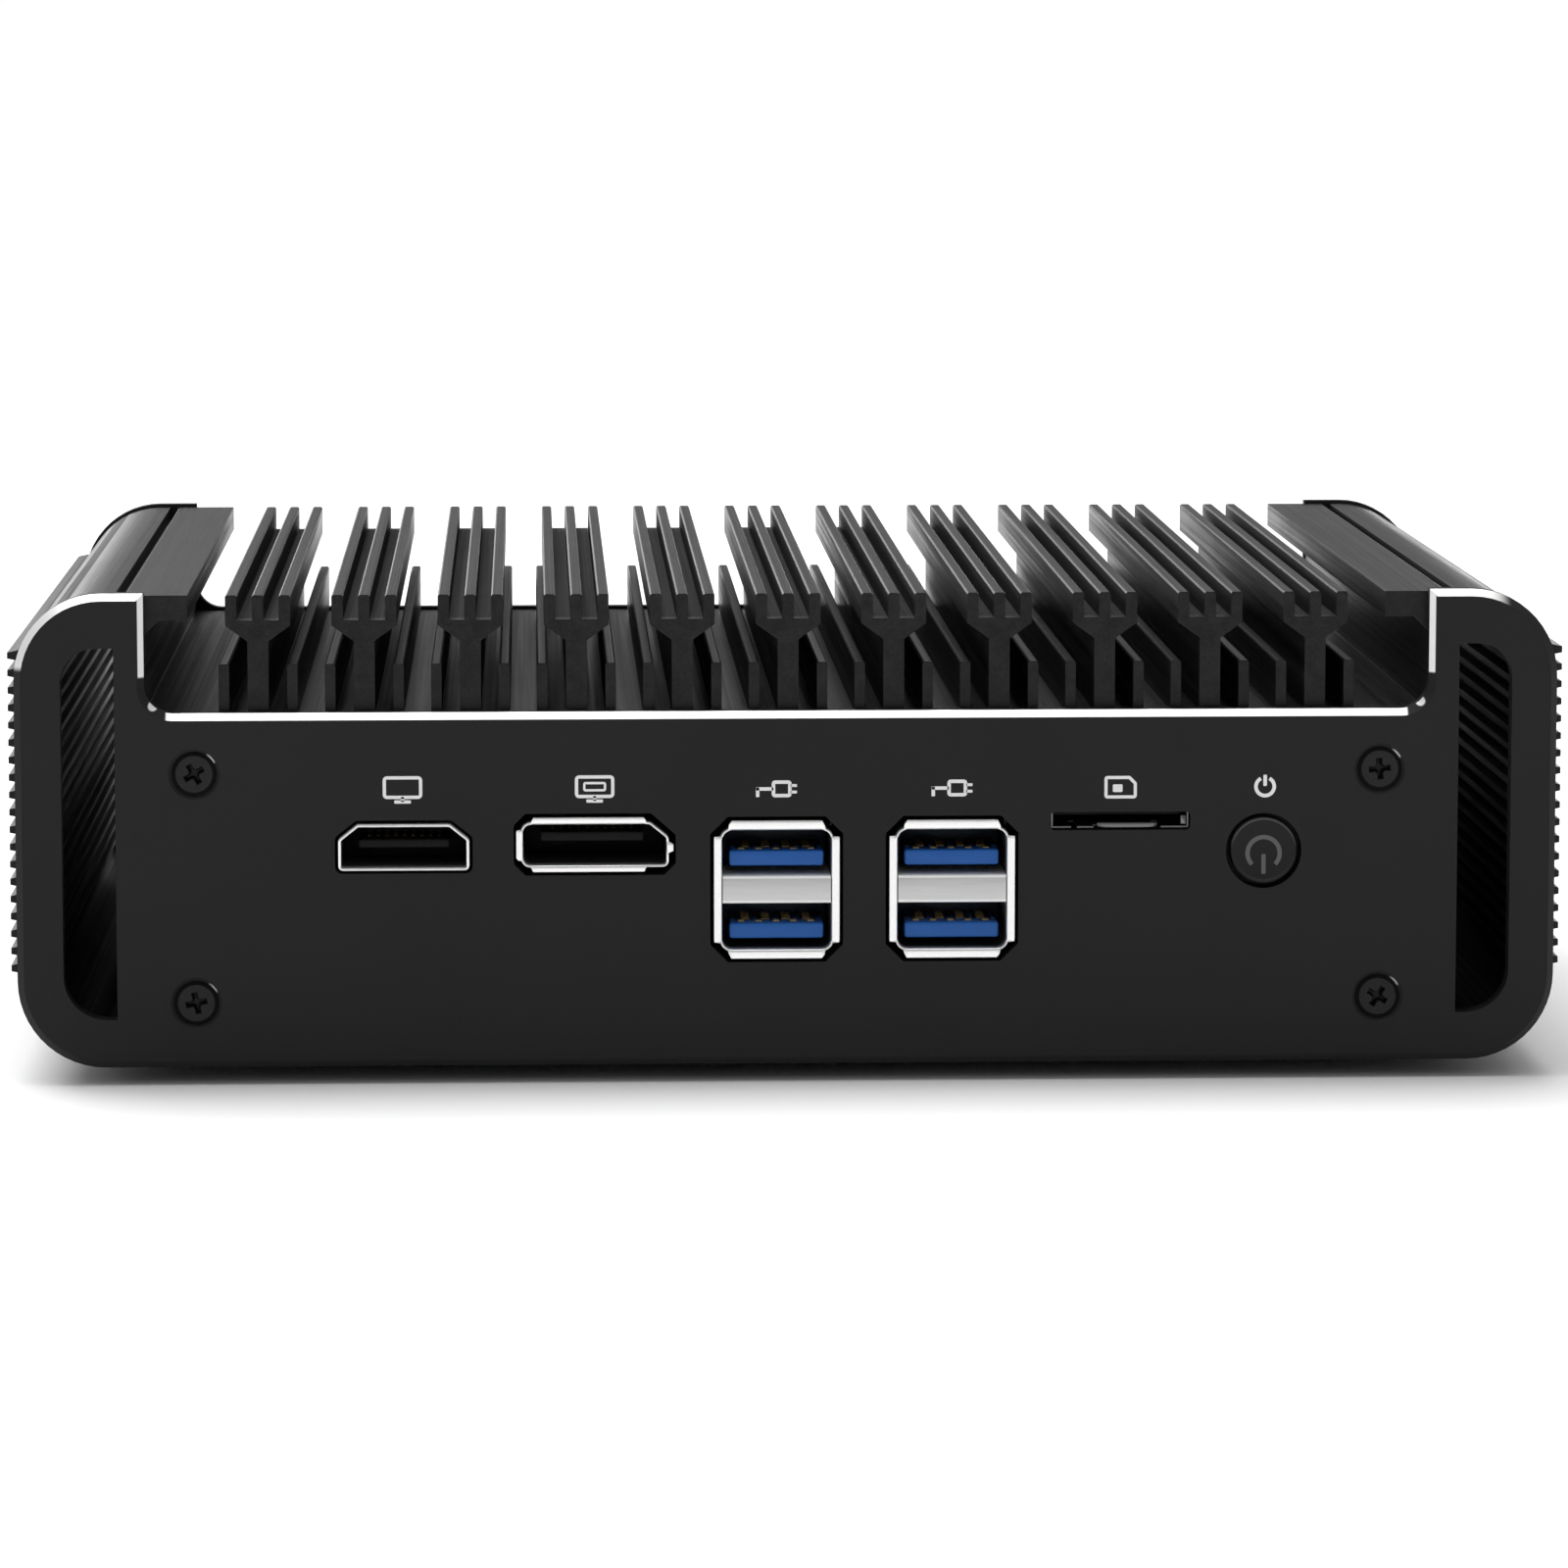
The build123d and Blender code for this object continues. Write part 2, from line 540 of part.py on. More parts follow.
USB_OPENING = (12.4, 5.05)
USB_BAR = 3.0
USB_WALL = 0.35
USB_LIP_X, USB_LIP_Z = 1.05, 1.5
USB_DEPTH = 17.6
USB_HALF_X = USB_OPENING[0] / 2 + USB_WALL
USB_HALF_Z = USB_OPENING[1] + USB_BAR / 2 + USB_WALL
USB_TONGUE = (10.9, 1.8, 8.9)


def usb_mouth_profile(grow=0.0):
    """Outline of the double socket's flared mouth, with cut corners."""
    half, high, cut = USB_OPENING[0] / 2 + USB_LIP_X, USB_OPENING[1] + USB_BAR / 2 + USB_LIP_Z, 1.8
    face = outline([(-half, -high + cut), (-half + cut, -high), (half - cut, -high), (half, -high + cut),
                    (half, high - cut), (half - cut, high), (-half + cut, high), (-half, high - cut)])
    return offset(face, grow, kind=Kind.INTERSECTION) if grow else face


def usb_openings(x):
    """The two openings of a double socket, as solids that run its whole depth."""
    width, height = USB_OPENING
    return [block(x - width / 2, x + width / 2, MOUTH_Y - 1, MOUTH_Y + USB_DEPTH - 0.4, floor, floor + height)
            for floor in (USB_Z + USB_BAR / 2, USB_Z - USB_BAR / 2 - height)]


def usb_shell(x):
    """The steel can of a double socket: two openings, the bar between them, flared lips and feet."""
    can = block(x - USB_HALF_X, x + USB_HALF_X, MOUTH_Y, MOUTH_Y + USB_DEPTH,
                USB_Z - USB_HALF_Z, USB_Z + USB_HALF_Z)
    half_x, half_z = USB_OPENING[0] / 2 + USB_LIP_X, USB_OPENING[1] + USB_BAR / 2 + USB_LIP_Z
    for side in (-1, 1):
        can += block(x - 5.35, x + 5.35, MOUTH_Y, MOUTH_Y + 0.5,
                     USB_Z + side * (USB_HALF_Z - 0.1), USB_Z + side * half_z)
        can += block(x + side * (USB_HALF_X - 0.1), x + side * half_x, MOUTH_Y, MOUTH_Y + 0.5,
                     USB_Z - 6.35, USB_Z + 6.35)
    for opening in usb_openings(x):
        can -= opening
    can -= block(x - 5.9, x + 5.9, MOUTH_Y + 0.4, MOUTH_Y + USB_DEPTH - 0.4,
                 USB_Z - USB_BAR / 2 + 0.3, USB_Z + USB_BAR / 2 - 0.3)
    for sx in (-1, 1):
        for y in (5.0, 13.0):
            can += block(x + sx * (USB_HALF_X - 0.4), x + sx * USB_HALF_X, MOUTH_Y + y, MOUTH_Y + y + 2.4,
                         USB_Z + USB_HALF_Z - 0.1, BOARD_UNDER)
    return can


def usb_insert(x):
    """The coloured insert of a double socket: a block at the back of each opening and its tongue."""
    width, height = USB_OPENING
    pieces = []
    for z in (USB_BAR / 2, -USB_BAR / 2 - height):
        back = block(x - width / 2, x + width / 2, MOUTH_Y + 10.2, MOUTH_Y + USB_DEPTH - 0.4,
                     USB_Z + z, USB_Z + z + height)
        low = USB_Z + z + 1.0
        tongue = block(x - USB_TONGUE[0] / 2, x + USB_TONGUE[0] / 2, MOUTH_Y + 1.3, MOUTH_Y + 10.4,
                       low, low + USB_TONGUE[1])
        front_edges = tongue.faces().sort_by(Axis.Y)[0].outer_wire().edges()
        pieces.append(back + chamfer(front_edges, 0.25))
    return Compound(children=pieces)


def usb_contacts():
    """The gilt springs on top of the four tongues: four long ones and five short ones each."""
    strips = []
    for x in USB_X:
        for z in (USB_BAR / 2, -USB_BAR / 2 - USB_OPENING[1]):
            top = USB_Z + z + 1.0 + USB_TONGUE[1]
            for i in range(4):
                cx = x - 3.5 + i * 7.0 / 3
                strips.append(block(cx - 0.45, cx + 0.45, MOUTH_Y + 4.2, MOUTH_Y + 9.8, top, top + 0.16))
            for i in range(5):
                cx = x - 4.0 + i * 2.0
                strips.append(block(cx - 0.35, cx + 0.35, MOUTH_Y + 1.9, MOUTH_Y + 3.4, top, top + 0.12))
    return Compound(children=strips)


SIM_HEIGHT, SIM_DEPTH = 1.8, 24.0
SIM_FRONT = FRONT_Y + PANEL_THICK - 1.6
SIM_WALL = 0.2
SIM_BASE = 0.5


def sim_mouth_profile():
    """Outline of the card slot in the front plate."""
    face = rectangle_xz(-8.05, 8.05, -1.05, 1.05)
    return fillet(face.vertices(), 0.5)


def sim_shell():
    """The thin steel cover of the card socket: floor, sides and back, open at its mouth and board side."""
    x0, x1 = SIM_X - 7.9, SIM_X + 7.9
    z0 = BOARD_UNDER - SIM_HEIGHT
    y0, y1 = SIM_FRONT, SIM_FRONT + SIM_DEPTH
    shell = block(x0, x1, y0, y1, z0, BOARD_UNDER)
    shell -= block(x0 + SIM_WALL, x1 - SIM_WALL, y0 - 1, y1 - SIM_WALL, z0 + SIM_WALL, BOARD_UNDER + 1)
    for x in (-5.6, 4.0):
        shell -= block(SIM_X + x, SIM_X + x + 0.7, y0 - 1, y0 + 5.0, z0 - 1, z0 + 0.6)
    shell -= block(SIM_X - 3.0, SIM_X + 3.0, y0 - 1, y0 + 1.6, z0 - 1, z0 + 0.6)
    return shell


def sim_base():
    """The moulded base of the card socket, against the board, with its contact windows."""
    y0, y1 = SIM_FRONT + 1.8, SIM_FRONT + SIM_DEPTH - SIM_WALL
    base = block(SIM_X - 7.7, SIM_X + 7.7, y0, y1, BOARD_UNDER - SIM_BASE, BOARD_UNDER)
    for i in range(3):
        for y in (6.0, 14.0):
            x = SIM_X - 3.4 + i * 2.54
            base -= block(x - 0.7, x + 0.7, SIM_FRONT + y, SIM_FRONT + y + 4.0,
                          BOARD_UNDER - 1, BOARD_UNDER + 1)
    return base


SLIDER_X = SIM_X + 6.7


def sim_slider():
    """The push-push slider at the socket's right-hand side, with the hook that the card's corner pushes."""
    y0 = SIM_FRONT + 9.0
    z0, z1 = BOARD_UNDER - SIM_HEIGHT + SIM_WALL + 0.05, BOARD_UNDER - SIM_BASE - 0.05
    bar = block(SLIDER_X - 0.7, SLIDER_X + 0.7, y0, y0 + 9.0, z0, z1)
    return bar + block(SLIDER_X - 2.2, SLIDER_X - 0.6, y0 + 6.0, y0 + 7.4, z0, z1)


# ---------------------------------------------------------------- power button
BUTTON_RADIUS = 3.8
BUTTON_HOLE_RADIUS = 4.35
BUTTON_FLANGE_RADIUS = 4.9
PLUNGER_RADIUS = 1.75
PLUNGER_FRONT = FRONT_Y + 6.4
SWITCH_FRONT = PLUNGER_FRONT + 1.1
SWITCH_SIZE = 6.2
SWITCH_DEPTH = 3.6


def power_button_cap():
    """The round cap: a slightly dished face, a retaining flange behind the panel and a stem to the switch."""
    back = FRONT_Y + PANEL_THICK
    cap = rod_y(BUTTON_X, BUTTON_Z, BUTTON_RADIUS, FRONT_Y - 0.1, back + 0.3)
    cap = chamfer(cap.edges().sort_by(Axis.Y)[0], 0.3)
    dish_radius = 42.0
    dish_centre = FRONT_Y - dish_radius + 0.08
    cap -= Pos(BUTTON_X, dish_centre, BUTTON_Z) * Sphere(dish_radius)
    cap += rod_y(BUTTON_X, BUTTON_Z, BUTTON_FLANGE_RADIUS, back + 0.1, back + 0.8)
    return cap + rod_y(BUTTON_X, BUTTON_Z, 1.5, back + 0.6, PLUNGER_FRONT)


def power_switch_plunger():
    """The plunger of the right-angle switch, in line with the cap's stem."""
    return rod_y(BUTTON_X, BUTTON_Z, PLUNGER_RADIUS, PLUNGER_FRONT, PLUNGER_FRONT + 2.2)


def power_switch_body():
    """The switch under the board: a square body with the plunger's bore, and the bracket that hangs it."""
    half = SWITCH_SIZE / 2
    body = block(BUTTON_X - half, BUTTON_X + half, SWITCH_FRONT, SWITCH_FRONT + SWITCH_DEPTH,
                 BUTTON_Z - half, BUTTON_Z + half)
    body += block(BUTTON_X - half, BUTTON_X + half, SWITCH_FRONT + 1.0, SWITCH_FRONT + SWITCH_DEPTH,
                  BUTTON_Z + half - 0.2, BOARD_UNDER)
    bore_end = PLUNGER_FRONT + 2.2 + BUTTON_TRAVEL + 0.2
    return body - rod_y(BUTTON_X, BUTTON_Z, PLUNGER_RADIUS + 0.07, SWITCH_FRONT - 1, bore_end)


# ---------------------------------------------------------------- rear sockets
LAN_MOUTH = CASE_DEPTH / 2 + SOCKET_PROUD
LAN_CAVITY_DEPTH = 13.5
LAN_WALL = 0.3


def lan_window(x, y0, y1):
    """The stepped opening that takes a network plug, latch side up."""
    low = LAN_TOP - LAN_HEIGHT + 2.6
    plug = block(x - 5.9, x + 5.9, y0, y1, low, low + 6.7)
    plug += block(x - 3.1, x + 3.1, y0, y1, low + 6.5, low + 8.2)
    return plug + block(x - 1.7, x + 1.7, y0, y1, low + 8.0, low + 9.4)


def led_places(x):
    """The lower corners of a jack's face that its two lamps shine through."""
    return [(x - 6.2, LAN_TOP - LAN_HEIGHT + 1.35), (x + 6.2, LAN_TOP - LAN_HEIGHT + 1.35)]


def lan_shell(x):
    """The steel can of one network jack, with its front window, lamp windows and ground springs."""
    z0, z1 = LAN_TOP - LAN_HEIGHT, LAN_TOP
    y0 = LAN_MOUTH - LAN_DEPTH
    half, inner = LAN_WIDTH / 2, LAN_WIDTH / 2 - LAN_WALL
    can = block(x - half, x + half, y0, LAN_MOUTH, z0, z1)
    can -= block(x - inner, x + inner, y0 + LAN_WALL, LAN_MOUTH - LAN_WALL, z0 + LAN_WALL, z1 - LAN_WALL)
    can -= lan_window(x, LAN_MOUTH - 1, LAN_MOUTH + 1)
    for lx, lz in led_places(x):
        can -= block(lx - 1.3, lx + 1.3, LAN_MOUTH - 1, LAN_MOUTH + 1, lz - 0.75, lz + 0.75)
    for side in (-1, 1):
        edge = x + side * half
        can += block(edge, edge - side * 0.9, y0 + 4, y0 + 5.6, z1 - 0.1, BOARD_UNDER)
    return can


def lan_insert(x):
    """The black moulding inside one jack, with the plug cavity and lamp wells."""
    z0, z1 = LAN_TOP - LAN_HEIGHT + LAN_WALL, LAN_TOP - LAN_WALL
    y0, y1 = LAN_MOUTH - LAN_DEPTH + LAN_WALL, LAN_MOUTH - LAN_WALL
    body = block(x - LAN_WIDTH / 2 + LAN_WALL, x + LAN_WIDTH / 2 - LAN_WALL, y0, y1, z0, z1)
    body -= lan_window(x, LAN_MOUTH - LAN_CAVITY_DEPTH, LAN_MOUTH + 1)
    for lx, lz in led_places(x):
        body -= block(lx - 1.3, lx + 1.3, y1 - 6.0, y1 + 1, lz - 0.75, lz + 0.75)
    return body


def lan_contacts():
    """Eight slanting gilt wires in each jack, from the cavity's floor up towards its back."""
    wires = []
    low = LAN_TOP - LAN_HEIGHT + 2.6
    for x in LAN_X:
        for i in range(8):
            cx = x - 3.57 + i * 1.02
            y0 = LAN_MOUTH - LAN_CAVITY_DEPTH
            corner_points = [(y0, low + 3.2), (y0, low + 2.9), (y0 + 9.0, low), (y0 + 9.9, low)]
            side = Plane.YZ * make_face(Polyline(*corner_points, close=True))
            wires.append(Pos(cx - 0.15, 0, 0) * extrude(side, amount=0.3))
    return Compound(children=wires)


def lan_leds():
    """The link and activity light pipes, two in each jack."""
    y1 = LAN_MOUTH - LAN_WALL
    return at_points(lambda x, z: block(x - 1.2, x + 1.2, y1 - 5.5, y1 + 0.1, z - 0.65, z + 0.65),
                     [place for x in LAN_X for place in led_places(x)])


def dc_jack_body():
    """The moulded barrel jack: a round nose in the rear panel, a square body and its open bore."""
    y1 = CASE_DEPTH / 2 + SOCKET_PROUD
    y0 = y1 - DC_DEPTH
    shoulder = CASE_DEPTH / 2 - PANEL_THICK - 0.1
    body = block(DC_X - DC_WIDTH / 2, DC_X + DC_WIDTH / 2, y0, shoulder,
                 DC_Z - DC_HEIGHT / 2 + 0.5, BOARD_UNDER)
    nose = rod_y(DC_X, DC_Z, DC_BORE_RADIUS + 0.8, shoulder - 0.5, y1)
    body += chamfer(nose.edges().sort_by(Axis.Y)[-1], 0.25)
    return body - rod_y(DC_X, DC_Z, DC_BORE_RADIUS, y1 - DC_BORE_DEPTH, y1 + 1)


def dc_jack_pin():
    """The centre pin of the barrel jack, rounded at its tip and rooted in the moulding."""
    y1 = CASE_DEPTH / 2 + SOCKET_PROUD
    pin = rod_y(DC_X, DC_Z, DC_PIN_RADIUS, y1 - DC_BORE_DEPTH, y1 - 0.8)
    return fillet(pin.edges().sort_by(Axis.Y)[-1], 0.6)


def antenna_plug(x):
    """One blanking plug: a flat disc outside the panel, a shank through it and a snap rim behind it."""
    face = CASE_DEPTH / 2
    disc = rod_y(x, ANTENNA_Z, ANTENNA_RADIUS + 1.2, face, face + SOCKET_PROUD)
    disc = chamfer(disc.edges().sort_by(Axis.Y)[-1], 0.2)
    shank = rod_y(x, ANTENNA_Z, ANTENNA_RADIUS - 0.1, face - PANEL_THICK - 1.2, face + 0.1)
    rim = rod_y(x, ANTENNA_Z, ANTENNA_RADIUS + 0.35, face - PANEL_THICK - 1.0, face - PANEL_THICK - 0.2)
    return disc + shank + rim


# ---------------------------------------------------------------- memory and storage, under the board
DIMM_X, DIMM_Y = -26.0, 33.0
DIMM_WIDTH, DIMM_LENGTH, DIMM_THICK = 67.6, 30.0, 1.2
DIMM_Z = BOARD_UNDER - 4.2
LATCH_THICK = 1.0
LATCH_LENGTH = 27.0
LATCH_GAP = 0.75
LATCH_PIN_Y = DIMM_Y - 1.0
LATCH_PIN_RADIUS = 0.85
LATCH_TIP_Y = LATCH_PIN_Y - LATCH_LENGTH


def dimm_socket():
    """The memory socket: a long bar with a slit for the module's edge, and the ears that carry the latches."""
    half = DIMM_WIDTH / 2 + 0.3
    bar = block(DIMM_X - half, DIMM_X + half, DIMM_Y - 3.4, DIMM_Y + 3.2, BOARD_UNDER - 5.2, BOARD_UNDER)
    bar -= block(DIMM_X - half - 1, DIMM_X + half + 1, DIMM_Y - 4, DIMM_Y + 0.6,
                 DIMM_Z - 0.1, DIMM_Z + DIMM_THICK + 0.1)
    for side in (-1, 1):
        x0 = DIMM_X + side * half
        bar += block(x0, x0 + side * 3.1, DIMM_Y - 1.9, DIMM_Y + 3.2, BOARD_UNDER - 5.2, BOARD_UNDER)
        edge = DIMM_X + side * (DIMM_WIDTH / 2 + LATCH_GAP)
        outer = edge + side * LATCH_THICK
        low, high = BOARD_UNDER - 6, BOARD_UNDER - 0.2
        bar -= rod_z((edge + outer) / 2, LATCH_PIN_Y, LATCH_PIN_RADIUS + 0.08, low, high)
        bar -= block(edge - side * 0.1, outer + side * 0.45, DIMM_Y - 4, LATCH_PIN_Y, low, high)
    return bar


def memory_module():
    """The memory board, notched on its edge and cut at its sides for the latches."""
    half = DIMM_WIDTH / 2
    y1 = DIMM_Y + 0.5
    board = block(DIMM_X - half, DIMM_X + half, y1 - DIMM_LENGTH, y1, DIMM_Z, DIMM_Z + DIMM_THICK)
    board -= block(DIMM_X - 6.0, DIMM_X - 4.2, y1 - 4.0, y1 + 1, DIMM_Z - 1, DIMM_Z + DIMM_THICK + 1)
    for side in (-1, 1):
        board -= rod_z(DIMM_X + side * half, LATCH_TIP_Y + 4.4, 0.9, DIMM_Z - 1, DIMM_Z + DIMM_THICK + 1)
    return board


def memory_chips():
    """Eight memory packages, four on each face of the module, and its small serial chip."""
    places = [(DIMM_X - 24.0 + i * 15.5, DIMM_Y - 15.0) for i in range(4)]
    lower = [centred(x, y, (10.5, 12.5, 0.9), DIMM_Z - 0.9) for x, y in places]
    upper = [centred(x, y, (10.5, 12.5, 0.9), DIMM_Z + DIMM_THICK) for x, y in places]
    return Compound(children=lower + upper + [centred(DIMM_X, DIMM_Y - 6.0, (3.0, 2.0, 0.7), DIMM_Z - 0.7)])


def dimm_latch(side):
    """One side latch: an arm along the module's edge, with a claw under it and a finger tab."""
    edge = DIMM_X + side * (DIMM_WIDTH / 2 + LATCH_GAP)
    outer = edge + side * LATCH_THICK
    y0 = LATCH_TIP_Y
    low, high = BOARD_UNDER - 4.6, BOARD_UNDER - 0.4
    arm = block(edge, outer, y0, LATCH_PIN_Y, low, high)
    claw = block(edge + side * 0.1, edge - side * 1.4, y0 + 0.6, y0 + 2.8, DIMM_Z - 0.75, DIMM_Z - 0.2)
    bridge = block(edge, outer, y0 + 0.6, y0 + 2.8, DIMM_Z - 0.75, low + 0.1)
    tab = block(outer - side * 0.1, outer + side * 1.6, y0, y0 + 1.2, low, BOARD_UNDER - 1.0)
    pin = rod_z((edge + outer) / 2, LATCH_PIN_Y, LATCH_PIN_RADIUS, low, high)
    return arm + claw + bridge + tab + pin


SSD_SOCKET_X, SSD_Y = 54.0, -24.0
SSD_WIDTH, SSD_LENGTH, SSD_THICK = 22.0, 80.0, 0.8
SSD_Z = BOARD_UNDER - 3.2


def ssd_socket():
    """The edge socket that holds one end of the storage module."""
    body = block(SSD_SOCKET_X - 1.5, SSD_SOCKET_X + 6.5, SSD_Y - 11.5, SSD_Y + 11.5,
                 BOARD_UNDER - 4.2, BOARD_UNDER)
    return body - block(SSD_SOCKET_X - 2, SSD_SOCKET_X + 3.2, SSD_Y - 11.1, SSD_Y + 11.1,
                        SSD_Z - 0.1, SSD_Z + SSD_THICK + 0.1)


def ssd_module():
    """The storage board: a long strip with a half-round screw notch at its free end."""
    x1 = SSD_SOCKET_X + 3.0
    half = SSD_WIDTH / 2
    board = block(x1 - SSD_LENGTH, x1, SSD_Y - half, SSD_Y + half, SSD_Z, SSD_Z + SSD_THICK)
    return board - rod_z(x1 - SSD_LENGTH, SSD_Y, 1.75, SSD_Z - 1, SSD_Z + SSD_THICK + 1)


def ssd_chips():
    """The controller and the two storage packages on the module's lower face."""
    sizes = [(44.0, (12.0, 12.0, 1.0)), (24.0, (14.0, 18.0, 1.1)), (2.0, (14.0, 18.0, 1.1))]
    return Compound(children=[centred(x, SSD_Y, size, SSD_Z - size[2]) for x, size in sizes])


def ssd_standoff():
    """The brass post that carries the module's free end."""
    x = SSD_SOCKET_X + 3.0 - SSD_LENGTH
    post = rod_z(x, SSD_Y, 2.4, SSD_Z + SSD_THICK, BOARD_UNDER)
    return post - rod_z(x, SSD_Y, 1.05, SSD_Z, BOARD_UNDER - 0.3)


def ssd_screw():
    """The small screw that clamps the module to its post, head down."""
    x = SSD_SOCKET_X + 3.0 - SSD_LENGTH
    return Pos(x, SSD_Y, SSD_Z) * Rot(180, 0, 0) * pan_screw(2.6, 2.4, 0.9, 1.0)


BATTERY_X, BATTERY_Y, BATTERY_RADIUS = 38.0, 12.0, 10.0


def battery_holder():
    """The holder of the clock battery: a ring with a floor and an open notch."""
    ring = rod_z(BATTERY_X, BATTERY_Y, BATTERY_RADIUS + 1.4, BOARD_UNDER - 4.4, BOARD_UNDER)
    ring -= rod_z(BATTERY_X, BATTERY_Y, BATTERY_RADIUS + 0.1, BOARD_UNDER - 5, BOARD_UNDER - 1.0)
    notch = block(BATTERY_X - 3, BATTERY_X + 3, BATTERY_Y + 6, BATTERY_Y + 13,
                  BOARD_UNDER - 5, BOARD_UNDER - 1.0)
    return ring - notch


def clock_battery():
    """The coin cell: a wide can with a smaller lid."""
    can = rod_z(BATTERY_X, BATTERY_Y, BATTERY_RADIUS, BOARD_UNDER - 4.2, BOARD_UNDER - 1.4)
    can = fillet(can.edges().sort_by(Axis.Z)[0], 0.5)
    return can + rod_z(BATTERY_X, BATTERY_Y, BATTERY_RADIUS - 1.2, BOARD_UNDER - 1.5, BOARD_UNDER - 1.0)


# ---------------------------------------------------------------- all pieces
def all_parts():
    """Every node and its shape."""
    block_low = BOARD_TOP + CPU_SIZE[2] + DIE_SIZE[2]
    parts = {
        "heatsink_body": heatsink_body(),
        "front_panel": front_panel(),
        "rear_panel": rear_panel(),
        "bottom_cover": bottom_cover(),
        "rubber_feet": at_points(foot, corners(FOOT_X, FOOT_Y)),
        "vesa_clinch_nuts": at_points(clinch_nut, corners(MOUNT_PITCH / 2, MOUNT_PITCH / 2)),
        "front_panel_screws": panel_screws(-1),
        "rear_panel_screws": panel_screws(1),
        "cover_screws": cover_screws(),
        "board_screws": board_screws(),
        "motherboard": motherboard(),
        "cpu_package": centred(CPU_X, CPU_Y, CPU_SIZE, BOARD_TOP),
        "cpu_die": centred(CPU_X, CPU_Y, DIE_SIZE, BOARD_TOP + CPU_SIZE[2]),
        "thermal_paste": centred(CPU_X, CPU_Y, (DIE_SIZE[0], DIE_SIZE[1], PASTE_THICK), block_low),
        "copper_heat_block": heat_block(),
        "heat_block_screws": heat_block_screws(),
        "power_inductors": on_board([(34.0 + 8.0 * i, -30.0) for i in range(4)], (6.6, 6.6, 3.0)),
        "capacitors": capacitors(),
        "network_chips": on_board([(x, 36.0) for x in LAN_X], (7.0, 7.0, 0.9)),
        "hdmi_shell": hdmi_shell(),
        "hdmi_insert": hdmi_insert(),
        "displayport_shell": dp_shell(),
        "displayport_insert": dp_insert(),
        "usb_contacts": usb_contacts(),
        "sim_socket_shell": sim_shell(),
        "sim_socket_base": sim_base(),
        "sim_slider": sim_slider(),
        "power_button_cap": power_button_cap(),
        "power_switch_plunger": power_switch_plunger(),
        "power_switch_body": power_switch_body(),
        "lan_contacts": lan_contacts(),
        "lan_light_pipes": lan_leds(),
        "dc_jack_body": dc_jack_body(),
        "dc_jack_pin": dc_jack_pin(),
        "antenna_hole_plugs": at_points(antenna_plug, [(x,) for x in ANTENNA_X]),
        "dimm_socket": dimm_socket(),
        "dimm_latch_left": dimm_latch(-1),
        "dimm_latch_right": dimm_latch(1),
        "memory_module": memory_module(),
        "memory_chips": memory_chips(),
        "ssd_socket": ssd_socket(),
        "ssd_module": ssd_module(),
        "ssd_chips": ssd_chips(),
        "ssd_standoff": ssd_standoff(),
        "ssd_screw": ssd_screw(),
        "battery_holder": battery_holder(),
        "clock_battery": clock_battery(),
    }
    for name, x in zip(("left", "right"), USB_X):
        parts[f"usb_{name}_shell"] = usb_shell(x)
        parts[f"usb_{name}_insert"] = usb_insert(x)
    for i, x in enumerate(LAN_X, 1):
        parts[f"lan_{i}_shell"] = lan_shell(x)
        parts[f"lan_{i}_insert"] = lan_insert(x)
    return parts


os.makedirs("parts", exist_ok=True)
for node, shape in all_parts().items():
    export_step(shape, f"parts/{node}.step")
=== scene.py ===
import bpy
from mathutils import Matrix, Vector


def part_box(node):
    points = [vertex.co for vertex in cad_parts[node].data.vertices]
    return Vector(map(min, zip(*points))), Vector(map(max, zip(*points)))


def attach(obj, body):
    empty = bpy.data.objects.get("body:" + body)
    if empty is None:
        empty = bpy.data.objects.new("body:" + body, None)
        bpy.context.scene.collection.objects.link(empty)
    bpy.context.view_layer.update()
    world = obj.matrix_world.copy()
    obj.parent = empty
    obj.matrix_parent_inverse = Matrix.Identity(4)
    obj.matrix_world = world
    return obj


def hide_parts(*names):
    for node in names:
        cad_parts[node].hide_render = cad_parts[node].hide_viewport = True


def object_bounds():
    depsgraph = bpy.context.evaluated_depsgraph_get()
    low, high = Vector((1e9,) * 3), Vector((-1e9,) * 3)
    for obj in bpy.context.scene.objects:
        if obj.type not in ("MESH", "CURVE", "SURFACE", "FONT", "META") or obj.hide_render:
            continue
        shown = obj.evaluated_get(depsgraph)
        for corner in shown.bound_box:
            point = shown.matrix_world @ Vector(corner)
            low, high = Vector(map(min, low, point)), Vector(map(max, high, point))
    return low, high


bl_info = {
    "name": "Fanless mini PC",
    "version": (1, 0, 0),
    "blender": (4, 5, 0),
    "location": "View3D > Sidebar > Mini PC",
    "description": "Finishes a fanless mini computer round its frame: sockets, screws, prints and materials",
    "category": "Object",
}

import bmesh
import bpy
import numpy as np
from bpy.props import FloatProperty, FloatVectorProperty, PointerProperty
from mathutils import Vector

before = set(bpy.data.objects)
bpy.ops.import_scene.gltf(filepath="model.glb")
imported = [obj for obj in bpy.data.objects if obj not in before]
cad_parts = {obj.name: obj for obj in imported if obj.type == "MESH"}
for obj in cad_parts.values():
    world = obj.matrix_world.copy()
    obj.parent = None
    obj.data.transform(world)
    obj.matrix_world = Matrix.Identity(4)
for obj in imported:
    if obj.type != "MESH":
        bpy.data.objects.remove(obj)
CAD_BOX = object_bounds()

MM = 0.001


def cad_box(node):
    """Lowest and highest corner of a CAD node, in millimetres."""
    low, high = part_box(node)
    return np.array(low) / MM, np.array(high) / MM


